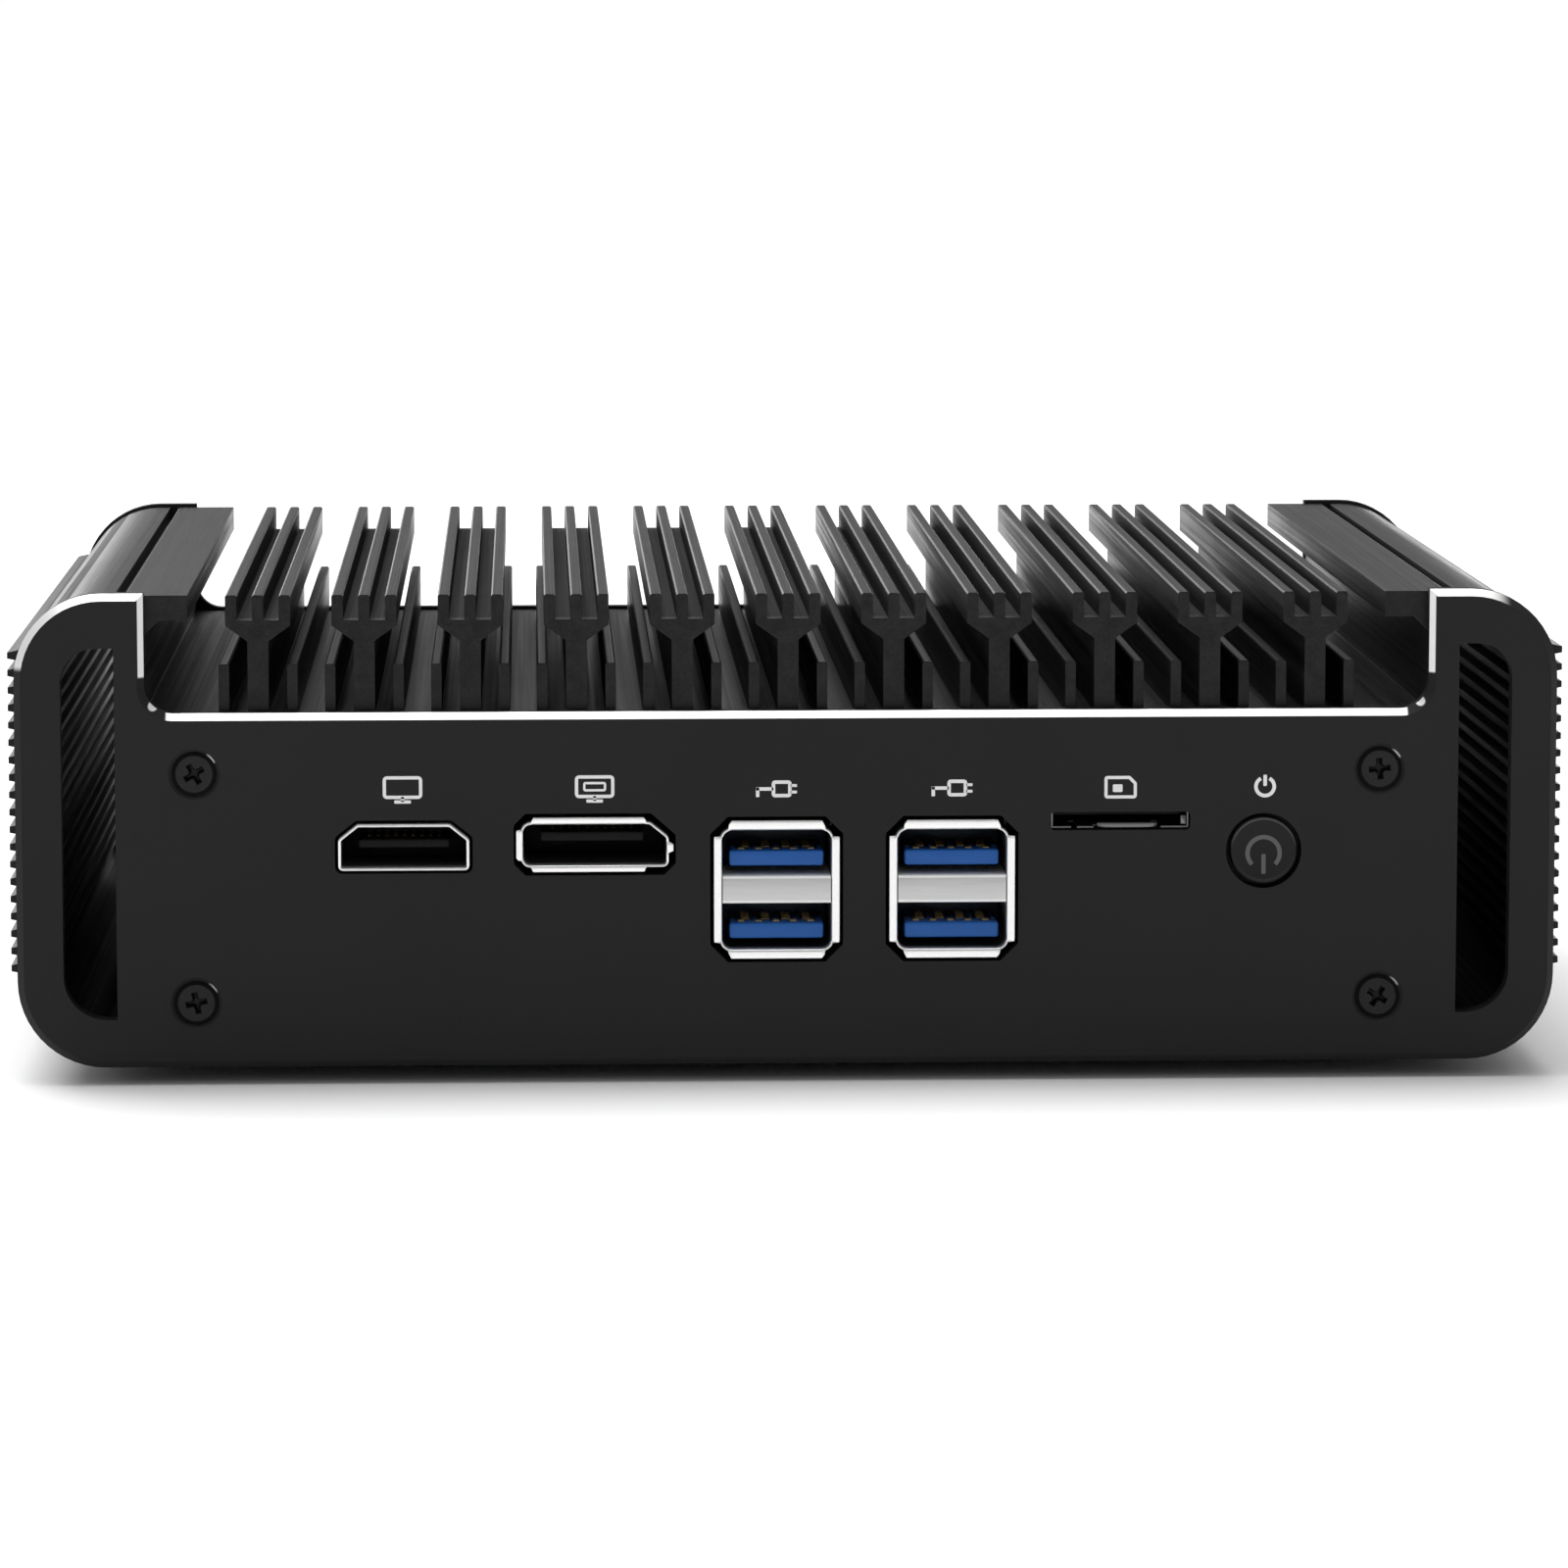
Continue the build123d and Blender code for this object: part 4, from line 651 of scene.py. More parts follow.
def spun_finish(name, colour, pitch=0.00018):
    """Turned and dyed metal: rings of that pitch round the button's middle, and a painted highlight on the rim at
    its top.
    """
    f = Finish(name)
    x, _, z = f.place_axes()
    radius = ((x - BUTTON_X * MM) ** 2 + (z - BUTTON_Z * MM) ** 2) ** 0.5
    rings = (radius * (2 * np.pi / pitch)).sine() * 0.5 + 0.5
    grain = f.noise(f.place(), 5200, 2)
    shade = f.mix(rings * 0.5 + grain * 0.5, scaled(colour, 0.8), scaled(colour, 1.25))
    # painted highlight on the upward-facing part of the rim
    upward = f.normal_axes()[2].over(0.0, 0.35)
    shade = f.mix(upward * radius.over(0.0032, 0.0034), shade, scaled(colour, 11))
    return f.look(Base_Color=shade, Roughness=0.42 + 0.14 * grain, Specular_IOR_Level=0.2,
                  Normal=f.bump(rings * 0.6 + grain * 0.4, 0.000005, 0.6))


def board_finish(name, mask, trace):
    """Solder mask over copper: darker laminate, lighter traces that run square and stop at vias."""
    f = Finish(name)
    place = f.place()
    x, y, _ = f.axes(place)
    cells = f.add("ShaderNodeTexVoronoi", {"distance": "CHEBYCHEV"}, {"Vector": place, "Scale": 190}, "Color")
    pick = f.axes(cells)[0]
    runs_x = (y * 5200).sine().over(0.2, 0.5)
    runs_y = (x * 5200).sine().over(0.2, 0.5)
    traces = runs_x * pick.over(0.45, 0.5) + runs_y * pick.over(0.3, 0.25)
    vias = f.add("ShaderNodeTexVoronoi", inputs={"Vector": place, "Scale": 420}, output="Distance").over(0.16, 0.12)
    colour = f.mix(traces, mask, trace)
    colour = f.mix(vias, colour, (0.32, 0.27, 0.14))
    return f.look(Base_Color=colour, Roughness=0.34 - 0.08 * traces, Metallic=vias * 0.7,
                  Specular_IOR_Level=0.5, Normal=f.bump(traces + vias, 0.00003, 0.7))


def pipe_finish(first, second):
    """Frosted light pipes, tinted one way on the right of each network jack's middle and the other on its left.

    The jacks stand a pitch apart, so the sine of the way along from one jack's middle tells the side.
    """
    f = Finish("light_pipe")
    middle, pitch = middle_x(LAN_NODES[0]), abs(middle_x(LAN_NODES[1]) - middle_x(LAN_NODES[0]))
    side = ((f.place_axes()[0] / MM - middle) * (2 * np.pi / pitch)).sine().over(-0.05, 0.05)
    haze = f.noise(f.place(), 900, 2)
    tint = f.mix(side, first, second)
    return f.look(Base_Color=f.mix(haze * 0.3, tint, (0.8, 0.8, 0.78)), Roughness=0.25 + 0.2 * haze,
                  Specular_IOR_Level=0.5, Normal=f.bump(haze, 0.00001, 0.3))


def die_finish():
    """Polished silicon with faint blocks of circuitry."""
    f = Finish("polished_silicon")
    cells = f.add("ShaderNodeTexVoronoi", {"distance": "MANHATTAN"}, {"Vector": f.place(), "Scale": 700}, "Color")
    blocks = f.axes(cells)[1]
    return f.look(Base_Color=f.mix(blocks, (0.09, 0.10, 0.13), (0.16, 0.15, 0.18)), Metallic=0.6,
                  Roughness=0.16 + 0.08 * blocks)


def floor_finish(light):
    """A matte pale floor, with only a trace of unevenness."""
    f = Finish("studio_floor")
    cloud = f.noise(f.place(), 3, 2)
    return f.look(Base_Color=f.mix(cloud, scaled(light.floor, 0.995), light.floor[:3]), Roughness=0.9,
                  Specular_IOR_Level=0.1)


def make_materials(scene):
    """Every finish, by name."""
    colours = scene.minipc_case
    sockets = scene.minipc_sockets
    return {
        "case": extrusion_finish(colours),
        "front_plate": plate_finish("anodised_front_plate", colours),
        "rear_plate": plate_finish("anodised_rear_plate", colours, -1),
        "cover": moulded_finish("powder_coated_cover", (0.02, 0.02, 0.021), 0.55, 1500, 0.00003),
        "black_steel": screw_finish("blackened_steel", (0.016, 0.016, 0.0165)),
        # the second colour is the painted shade deep inside the socket
        "shell": socket_finish("nickel_shell", (0.93, 0.93, 0.92), (0.10, 0.10, 0.105), 0.5, 2.2),
        "bright_steel": metal_finish("bright_steel", (0.8, 0.8, 0.79), 0.28, (2400, 240, 2400), edge=0.00006),
        "black": moulded_finish("black_moulding", (0.0035, 0.0035, 0.0038), 0.5, gloss=0.14),
        "blue": tongue_finish(sockets.tongue[:3]),
        "bridge": bridge_finish(),
        "dull_steel": metal_finish("dull_steel", (0.17, 0.17, 0.17), 0.34, (2400, 240, 2400), edge=0.00006),
        # the second colour is the painted shade deep inside the socket
        "gilt": socket_finish("gilt", (0.95, 0.68, 0.28), (0.24, 0.17, 0.07), 2.0, 5.0),
        "rubber": moulded_finish("rubber", (0.018, 0.018, 0.018), 0.75, 1800, 0.00003),
        "board": board_finish("circuit_board", (0.006, 0.022, 0.012), (0.012, 0.05, 0.022)),
        "laminate": board_finish("module_board", (0.004, 0.016, 0.030), (0.008, 0.032, 0.055)),
        "chip": moulded_finish("chip_moulding", (0.018, 0.018, 0.02), 0.42, 4200, 0.000006),
        "silicon": die_finish(),
        "copper": metal_finish("milled_copper", (0.93, 0.48, 0.32), 0.3, (90, 2400, 90), 0.00001, 0.0001),
        "paste": moulded_finish("thermal_paste", (0.42, 0.42, 0.43), 0.6, 900, 0.00005),
        "ferrite": moulded_finish("pressed_ferrite", (0.075, 0.075, 0.08), 0.6, 3000, 0.00002, 0.4, 0.00015),
        "can": metal_finish("capacitor_can", (0.82, 0.82, 0.84), 0.22, (200, 200, 1800), edge=0.0001),
        "pipe": pipe_finish((0.30, 0.56, 0.28), (0.72, 0.50, 0.18)),
        "jack_steel": metal_finish("jack_steel", (0.5, 0.5, 0.495), 0.36, (300, 2400, 2400), 0.000006, 0.0001),
        "cell": metal_finish("coin_cell", (0.72, 0.72, 0.70), 0.3, (160, 2200, 160), edge=0.0001),
        "brass": metal_finish("turned_brass", (0.85, 0.62, 0.26), 0.27, (300, 300, 4000)),
        "zinc": metal_finish("zinc_plate", (0.62, 0.64, 0.68), 0.36, (500, 500, 500), edge=0.0001),
        "button": spun_finish("spun_button", (0.0075, 0.0075, 0.0078)),
        "ink": moulded_finish("white_ink", colours.ink[:3], 0.55, 6000, 0.000004, 0.05, 0.0),
        "button_mark": moulded_finish("grey_button_mark", (0.105, 0.105, 0.107), 0.5, 6000, 0.000004, 0.1, 0.0),
    }


FINISHES = {}

NODES_BY_FINISH = {
    "case": ["heatsink_body"], "front_plate": ["front_panel"], "rear_plate": ["rear_panel"],
    "cover": ["bottom_cover"], "jack_steel": LAN_NODES,
    "zinc": ["vesa_clinch_nuts", "board_screws", "heat_block_screws", "ssd_screw"], "board": ["motherboard"],
    "laminate": ["memory_module", "ssd_module", "cpu_package"], "silicon": ["cpu_die"], "paste": ["thermal_paste"],
    "copper": ["copper_heat_block"], "ferrite": ["power_inductors"], "can": ["capacitors"],
    "chip": ["network_chips", "memory_chips", "ssd_chips"], "dull_steel": ["sim_socket_shell"],
    "pipe": ["lan_light_pipes"], "bright_steel": ["dc_jack_pin", "dimm_latch_left", "dimm_latch_right"],
    "brass": ["ssd_standoff"], "cell": ["clock_battery"], "gilt": ["usb_contacts", "lan_contacts"],
    "black_steel": ["cover_screws", "front_panel_screws", "rear_panel_screws"], "rubber": ["rubber_feet"],
    "button": ["power_button_cap"], "blue": ["usb_left_insert", "usb_right_insert"],
}
NODE_FINISH = {node: finish for finish, nodes in NODES_BY_FINISH.items() for node in nodes}


def finish_of(node):
    """The finish of a CAD node: its own, or by kind: a shell is nickel plated, and other mouldings are black."""
    return NODE_FINISH.get(node, "shell" if node.endswith("_shell") else "black")


# ---- making a piece
def piece(name, surface, finish, body="case", replaces=(), sharp=32.0):
    """Puts a surface in millimetres into a mesh in metres, closes its seams, and rides it on a body."""
    mesh = bpy.data.meshes.new(name)
    faces = surface.quads.tolist() + [cap.tolist() for cap in surface.caps]
    mesh.from_pydata((surface.points * MM).tolist(), [], faces)
    work = bmesh.new()
    work.from_mesh(mesh)
    bmesh.ops.remove_doubles(work, verts=work.verts, dist=0.0000005)
    work.to_mesh(mesh)
    work.free()
    mesh.shade_smooth()
    mesh.set_sharp_from_angle(angle=np.radians(sharp))
    mesh.materials.append(FINISHES[finish])
    made = bpy.data.objects.new(name, mesh)
    bpy.context.scene.collection.objects.link(made)
    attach(made, body)
    if replaces:
        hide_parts(*replaces)
    return made


# ---- screws, feet, plugs and button
def screw_surface(length):
    """A countersunk screw, head up at height 0.

    The rings run out over the face, round its rim, down the cone and shank, and in to the tip. Inside the
    head, the height is lowered by 1.15 mm times a smooth step of the distance to a cross of four arms,
    each 0.56 mm wide and 1.2 mm long, round a core of 0.55 mm radius.
    """
    edge, bevel, shank, cone = SCREW_RADIUS - 0.5, 0.08, 1.45, 1.2
    arm_long, arm_half, core, recess = 1.2, 0.28, 0.55, 1.15
    face = np.linspace(0, edge - bevel, 34)
    rim = arc(bevel, 90, 35, 4, (edge - bevel, -bevel))
    widest = [(SCREW_RADIUS - 0.06, -0.3), (SCREW_RADIUS, -0.42)]
    below = [(shank, -0.42 - cone), (shank, -length), (0, -length)]
    p, q, h = revolved(np.vstack([np.column_stack([face, np.zeros_like(face)]), rim, widest, below]), 96)
    r = np.hypot(p, q)
    arm_p = np.maximum(abs(p) - arm_long, abs(q) - arm_half)
    arm_q = np.maximum(abs(q) - arm_long, abs(p) - arm_half)
    away = np.minimum(np.minimum(arm_p, arm_q), r - core)
    sunk = recess * smooth(0.06, -0.16, away) * (h > -0.01) * (r < 2.0)
    return grid(np.stack([p, q, h - sunk], axis=-1))


def make_screws():
    """The countersunk screws of both plates and the cover, each driven to its own angle."""
    sink = 0.1
    screw, short = screw_surface(8.0), screw_surface(7.2)
    angles = ((12, 31), (58, 5))
    for side, face in (("front", FRONT_FACE + sink), ("rear", REAR_FACE - sink)):
        heads = [screw.turned(angles[i][j]).facing(side, x, face, z)
                 for i, x in enumerate((-SCREW_X, SCREW_X)) for j, z in enumerate(SCREW_Z)]
        piece(f"{side}_plate_screws", joined(heads), "black_steel",
              replaces=[f"{side}_panel_screws"])
    low, high = cad_box("cover_screws")
    heads = [short.turned(20 * i + 35 * j).facing("down", x, y, low[2])
             for i, x in enumerate((low[0] + SCREW_RADIUS, high[0] - SCREW_RADIUS))
             for j, y in enumerate((low[1] + SCREW_RADIUS, high[1] - SCREW_RADIUS))]
    piece("bottom_cover_screws", joined(heads), "black_steel", replaces=["cover_screws"])


def make_feet():
    """Rubber feet: a drafted disc whose ground face is a ring round a hollow with two low ridges."""
    low, high = cad_box("rubber_feet")
    radius, tall, draft, corner = 6.5, high[2], 0.3, 0.7
    ring, deep, ridge, ridge_turn = 3.4, 0.5, 0.12, 6.3
    rim = arc(corner, 0, -90, 7, (radius - draft - corner, corner))
    hollow = np.linspace(ring, 0, 30)
    wave = 0.5 - 0.5 * np.cos(hollow * ridge_turn)
    dip = deep * smooth(ring, 2.9, hollow) - ridge * smooth(2.9, 2.6, hollow) * wave
    profile = np.vstack([[(0, tall), (radius, tall), (radius - 0.25, 0.75)], rim, np.column_stack([hollow, dip])])
    foot = lathe(profile, 72)
    feet = [foot.moved(x, y).outward() for x in (low[0] + radius, high[0] - radius)
            for y in (low[1] + radius, high[1] - radius)]
    piece("stick_on_feet", joined(feet), "rubber", replaces=["rubber_feet"])


def make_blanking_plugs():
    """Blanking plugs: a low dome with a round groove and a dimple, a shank through the plate, and a snap rim."""
    low, high = cad_box("antenna_hole_plugs")
    radius, shank, snap = (high[2] - low[2]) / 2, 3.15, 3.6
    proud = high[1] - REAR_FACE
    dome = np.linspace(0, radius - 0.5, 44)
    groove = 0.22 * smooth(3.0, 3.1, dome) * smooth(3.45, 3.35, dome) + 0.1 * smooth(0.7, 0.5, dome)
    cap = np.column_stack([dome, proud * (1 - 0.25 * (dome / radius) ** 2) - groove])
    rim = arc(proud * 0.6, 70, 0, 5, (radius - proud * 0.6, 0.05))
    back = [(radius, 0), (shank, 0), (shank, -2.6), (snap, -2.8), (3.45, -3.5), (3.1, -3.7), (0, -3.7)]
    plug = lathe(np.vstack([cap, rim, back]), 64)
    z = (low[2] + high[2]) / 2
    plugs = [plug.facing("rear", x, REAR_FACE, z) for x in (low[0] + radius, high[0] - radius)]
    piece("blanking_plugs", joined(plugs), "black", replaces=["antenna_hole_plugs"])


def ink_line(path, half, low, high):
    """A flat open line of ink: a rectangle, twice half wide, carried along a path from height low to high."""
    route = np.column_stack([path, np.full(len(path), (low + high) / 2)])
    return carried(box_corners(half, (high - low) / 2), route, (0, 0, 1))


def power_sign(radius, line, low, high, gap=28.0):
    """The power sign: a ring open at its top by twice the gap angle, and an upright bar through the opening."""
    ring = ink_line(arc(radius, 90 + gap, 450 - gap, 48), line / 2, low, high)
    bar = outline(box_corners(line / 2, radius * 0.62, 0, radius * 0.68), line * 0.3)
    return ring + block(bar, low, high, (high - low) / 4, 2)


def make_button():
    """The power button: a dished face inside a rounded rim, a collar behind the plate, the stem, and its sign.

    The face is lowered by the dip times 1 minus the square of the share of the way out to the rim. The sign
    lies on it, open side down.
    """
    radius, roll, collar, stem, front = 3.8, 0.28, 4.9, 1.5, 0.1
    dished, dip = radius - 0.45, 0.16
    face = np.linspace(0, dished, 22)
    dish = front - 0.02 - dip * (1 - (face / dished) ** 2)
    rim = arc(roll, 110, 0, 8, (radius - roll, front - roll))
    depth = FRONT_FACE - BUTTON_HIGH[1]
    back = [(radius, -2.6), (collar, -2.6), (collar, -3.3), (stem, -3.3), (stem, depth), (0, depth)]
    cap = lathe(np.vstack([np.column_stack([face, dish]), rim, back]), 96)
    piece("power_button", cap.facing("front", BUTTON_X, FRONT_FACE, BUTTON_Z), "button", body="power_button",
          replaces=["power_button_cap"])
    sign = power_sign(1.85, 0.5, -0.1, -0.02, 46)
    p, q, height = sign.points.T
    q = -0.3 - q
    sign.points = np.column_stack([p, q, height + dip * (np.hypot(p, q) / dished) ** 2 - 0.025])
    piece("power_button_sign", sign.facing("front", BUTTON_X, FRONT_FACE, BUTTON_Z), "button_mark",
          body="power_button")


# ---- front sockets: drawn round 0, 0 with depths below 0; a rise is from a shell's lowest point to its middle
DOUBLE_HALF_P, DOUBLE_HALF_Q, DOUBLE_DEPTH, DOUBLE_RISE = 6.25, 6.86, 17.6, 8.05
DOUBLE_FLOORS = (1.6, -6.8)
ROLLED_CORNERS = [(-7.5, -2.7), (7.5, -2.7), (7.5, 0.95), (5.3, 2.7), (-5.3, 2.7), (-7.5, 0.95)]
ROLLED_SHEET, ROLLED_RISE = 0.38, 2.7
FLARED_CORNERS = [(-8.45, -2.6), (8.45, -2.6), (8.45, 0.9), (6.35, 2.6), (-8.45, 2.6)]
FLARED_REACH, FLARED_RISE = 8.9, 3.2


def double_middle(side, part):
    """The place of a double socket's middle: x from its shell or insert, and z from its shell."""
    return middle_x(f"usb_{side}_{part}"), cad_box(f"usb_{side}_shell")[0][2] + DOUBLE_RISE


def rolled_middle():
    """The x and z of the first video socket's middle."""
    return middle_x("hdmi_shell"), cad_box("hdmi_shell")[0][2] + ROLLED_RISE


def flared_middle():
    """The x and z of the second video socket's middle."""
    low, _ = cad_box("displayport_shell")
    return low[0] + FLARED_REACH, low[2] + FLARED_RISE


def bar_of(box, low, high, soft=0.1, steps=2, radius=0.1):
    """A leg or bar: a rectangle (half p, half q, p, q) with rounded corners, raised from low to high."""
    return block(outline(box_corners(*box), radius), low, high, soft, steps)


def flared_can(shape, sheet, depth, bars):
    """A folded can whose mouth flares out over the plate along some of its sides.

    Two cross-sections of the sheet are worked out point for point: a plain wall, and a wall that goes round a
    bend and out to the lip's edge. Each place of the outline takes plain + share (flared - plain). The share is
    1 where the outline faces a bar's way and lies within half its length of its middle, and falls smoothly to 0
    over 0.3 mm at its ends. A bar is (its way p, its way q, its middle, half its length, its reach).
    """
    points, normals = resampled(shape, 260)
    bend, fade, same_way = 0.2, 0.15, 0.97
    middle = sheet / 2
    down = [(middle, -depth), (middle, -depth / 2), (middle, -2.0), (middle, -bend - middle)]
    plain = strip(np.vstack([down, [(middle, h) for h in np.linspace(-bend, -middle, 9)]]), sheet)
    turn = arc(bend, 180, 90, 7, (middle + bend, -middle - bend))[1:]
    total = plain[None, :, :] + np.zeros((len(points), 1, 1))
    for p, q, centre, half, reach in bars:
        out = [(x, -middle) for x in np.linspace(middle + bend, reach - middle, 4)[1:]]
        flared = strip(np.vstack([down, turn, out]), sheet)
        along = points[:, 0] * abs(q) + points[:, 1] * abs(p)
        share = smooth(half + fade, half - fade, abs(along - centre)) * (normals @ np.array([p, q]) > same_way)
        total += share[:, None, None] * (flared - plain)[None, :, :]
    flat = points[:, None, :] + normals[:, None, :] * total[:, :, :1]
    return grid(np.concatenate([flat, total[:, :, 1:]], axis=-1), wrap_u=True)


def shell_tube(shape, sheet, depth):
    """The folded wall of a socket: a sheet's cross-section, round at its mouth, carried round the outline."""
    mouth = arc(sheet / 2, 0, 180, 5, (sheet / 2, -sheet / 2))
    return walls(shape, np.vstack([mouth, [(0, -depth)], [(sheet, -depth)]]))


def make_double_cans(sheet, lip):
    """Cans of the double sockets: four flared lips with open corners, a back wall, legs, and the bar between."""
    bar, inset = 1.6, 0.06
    side, end = lip + sheet * 0.65, lip + sheet * 1.2
    bars = ((1, 0, 0, 6.3, side), (-1, 0, 0, 6.3, side), (0, 1, 0, 5.35, end), (0, -1, 0, 5.35, end))
    can = flared_can(outline(box_corners(DOUBLE_HALF_P, DOUBLE_HALF_Q), 1.15, 8), sheet, DOUBLE_DEPTH, bars)
    back = bar_of((DOUBLE_HALF_P + 0.1, DOUBLE_HALF_Q + 0.1), -DOUBLE_DEPTH, -DOUBLE_DEPTH + 0.35, radius=1.2)
    legs = [bar_of((0.15, 1.9, s * (DOUBLE_HALF_P + 0.15), DOUBLE_HALF_Q + 1.7), -y - 2.4, -y, 0.05, radius=0.05)
            for s in (-1, 1) for y in (5.0, 13.0)]
    can = joined([can, back] + legs)
    section = [(-bar, 0.12), (bar, 0.12), (bar, DOUBLE_DEPTH - 0.4), (-bar, DOUBLE_DEPTH - 0.4)]
    section, _ = outline(section, (0.4, 0.4, 0.1, 0.1), 7)
    ends = [np.column_stack([np.full(len(section), p), section[:, 0], -section[:, 1]])
            for p in (inset - DOUBLE_HALF_P, DOUBLE_HALF_P - inset)]
    bridge = grid(np.stack(ends), caps=True)
    for name in ("left", "right"):
        x, z = double_middle(name, "shell")
        piece(f"usb_{name}_can", can.facing("front", x, SOCKET_MOUTH, z), "shell",
              replaces=[f"usb_{name}_shell"])
        piece(f"usb_{name}_bridge", bridge.facing("front", x, SOCKET_MOUTH, z), "bridge")


def make_double_mouldings():
    """Blue mouldings: a block deep in each opening and its tongue, with ridges between the springs."""
    parts = []
    for floor in DOUBLE_FLOORS:
        parts.append(bar_of((6.1, 2.55, 0, floor + 2.6), -17.1, -10.2, 0.2, 4, 0.5))
        parts.append(bar_of((5.4, 0.88, 0, floor + 1.9), -10.4, -1.3, 0.22, 5, 0.3))
        parts += [bar_of((0.25, 0.09, p, floor + 2.84), -9.8, -4.0, 0.05, radius=0.05)
                  for p in (-5.0, -2.33, 0.0, 2.33, 5.0)]
    tongues = joined(parts)
    for side in ("left", "right"):
        x, z = double_middle(side, "insert")
        piece(f"usb_{side}_tongues", tongues.facing("front", x, SOCKET_MOUTH, z), "blue",
              replaces=[f"usb_{side}_insert"])


def spring_strip(path, width, thick=0.14):
    """A flat spring: a rectangle of that width and thickness carried along a path of (inward, height) points."""
    route = np.array([(0.0, h, -y) for y, h in path])
    return carried(box_corners(thick / 2, width / 2), route, (1, 0, 0))


def make_double_springs():
    """Gilt springs over the tongues: four long ones that arch up behind five short pads."""
    y = np.linspace(4.2, 9.9, 16)
    arch = np.column_stack([y, 0.05 + 0.3 * np.sin(np.pi * smooth(4.0, 8.6, y)) * (y < 8.6)])
    pad = np.column_stack([np.linspace(2.6, 3.9, 6), 0.02 + 0.03 * np.sin(np.linspace(0, np.pi, 6))])
    springs = ((spring_strip(arch, 0.9), np.linspace(-3.5, 3.5, 4)),
               (spring_strip(pad, 0.7), np.linspace(-4, 4, 5)))
    parts = []
    for side in ("left", "right"):
        x, z = double_middle(side, "insert")
        parts += [spring.moved(p, floor + 2.78).facing("front", x, SOCKET_MOUTH, z)
                  for floor in DOUBLE_FLOORS for spring, places in springs for p in places]
    piece("usb_springs", joined(parts), "gilt", replaces=["usb_contacts"])


def shrunk(shape, amount):
    """An outline drawn in by an amount."""
    points, normals = shape
    return points - normals * amount, normals


def make_video_shells(sheet, lip):
    """Shells of the two video sockets: a rolled rim on one, and flared lips on the other."""
    x, z = rolled_middle()
    shell = shell_tube(shrunk(outline(ROLLED_CORNERS, 0.6, 8), ROLLED_SHEET), ROLLED_SHEET, 11.4)
    leaf = np.column_stack([np.linspace(1.2, 6.0, 12), -0.28 * np.sin(np.linspace(0, np.pi, 12))])
    leaves = [spring_strip(leaf, 1.7, 0.2).moved(p, 2.3) for p in (-3.4, 3.4)]
    legs = [bar_of((0.9, 0.7, p, 3.0), -y - 1.6, -y) for p in (-4.2, 4.2) for y in (5.0, 9.4)]
    piece("hdmi_can", joined([shell] + leaves + legs).facing("front", x, SOCKET_MOUTH, z), "shell",
          replaces=["hdmi_shell"])
    x, z = flared_middle()
    mouth = shrunk(outline(FLARED_CORNERS, (1.1, 0.7, 0.7, 0.5, 1.1), 8), sheet)
    reach = lip * 0.7 + sheet
    bars = ((0, 1, -0.7, 6.5, reach), (0, -1, -0.7, 6.5, reach), (-1, 0, 0, 1.7, reach), (1, 0, -0.35, 0.55, reach))
    legs = [bar_of((0.9, 0.5, p, 2.8), -7.6, -6.0) for p in (-4.1, 4.9)]
    shell = joined([flared_can(mouth, sheet, 12.4, bars)] + legs)
    piece("displayport_can", shell.facing("front", x, SOCKET_MOUTH, z), "shell",
          replaces=["displayport_shell"])


def make_video_mouldings():
    """Black mouldings of the two video sockets, each a back wall and a tongue lined with gilt springs."""
    lead = spring_strip(np.column_stack([np.linspace(4.8, 8.8, 5), np.full(5, 0.03)]), 0.32, 0.1)
    rolled_x, rolled_z = rolled_middle()
    back = block(shrunk(outline(ROLLED_CORNERS, 0.6, 6), 0.47), -11.3, -9.0)
    moulding = back + bar_of((5.2, 0.5, 0, 0.2), -9.2, -2.0, 0.2, 4, 0.2)
    piece("hdmi_moulding", moulding.facing("front", rolled_x, SOCKET_MOUTH, rolled_z), "black",
          replaces=["hdmi_insert"])
    flared_x, flared_z = flared_middle()
    back = block(shrunk(outline(FLARED_CORNERS, 0.5, 6), 0.4), -12.3, -10.0)
    moulding = back + bar_of((5.9, 0.55, -0.3, 0.75), -10.2, -1.8, 0.2, 4, 0.2)
    piece("displayport_moulding", moulding.facing("front", flared_x, SOCKET_MOUTH, flared_z), "black",
          replaces=["displayport_insert"])
    springs = [lead.moved(p, side + 0.2).facing("front", rolled_x, SOCKET_MOUTH, rolled_z)
               for side, count in ((0.5, 9), (-0.56, 10)) for p in (np.arange(count) - (count - 1) / 2)]
    springs += [lead.moved(p, side + 0.75).facing("front", flared_x, SOCKET_MOUTH, flared_z)
                for side in (0.55, -0.61) for p in np.linspace(-4.8, 4.2, 10)]
    piece("video_springs", joined(springs), "gilt")


def make_card_slot_lip():
    """The card slot's rolled lip: a rounded strip whose ends bend back, and an ear at the right-hand end."""
    x, z = middle_x("sim_socket_shell"), cad_box("sim_socket_shell")[0][2]
    t = np.linspace(-1, 1, 24)
    path = np.column_stack([0.85 + 3.3 * t, np.full(24, 0.34), -0.75 - 0.5 * t ** 8])
    section, _ = outline(box_corners(0.35, 0.27), 0.16, 4)
    lip = carried(section[:, ::-1], path, (0, 1, 0))
    ear = bar_of((0.33, 0.55, 7.3, 0.95), -2.2, -0.6, 0.12, 4)
    for name, part in (("lip", lip), ("ear", ear)):
        piece(f"card_slot_{name}", part.facing("front", x, FRONT_FACE, z), "dull_steel")


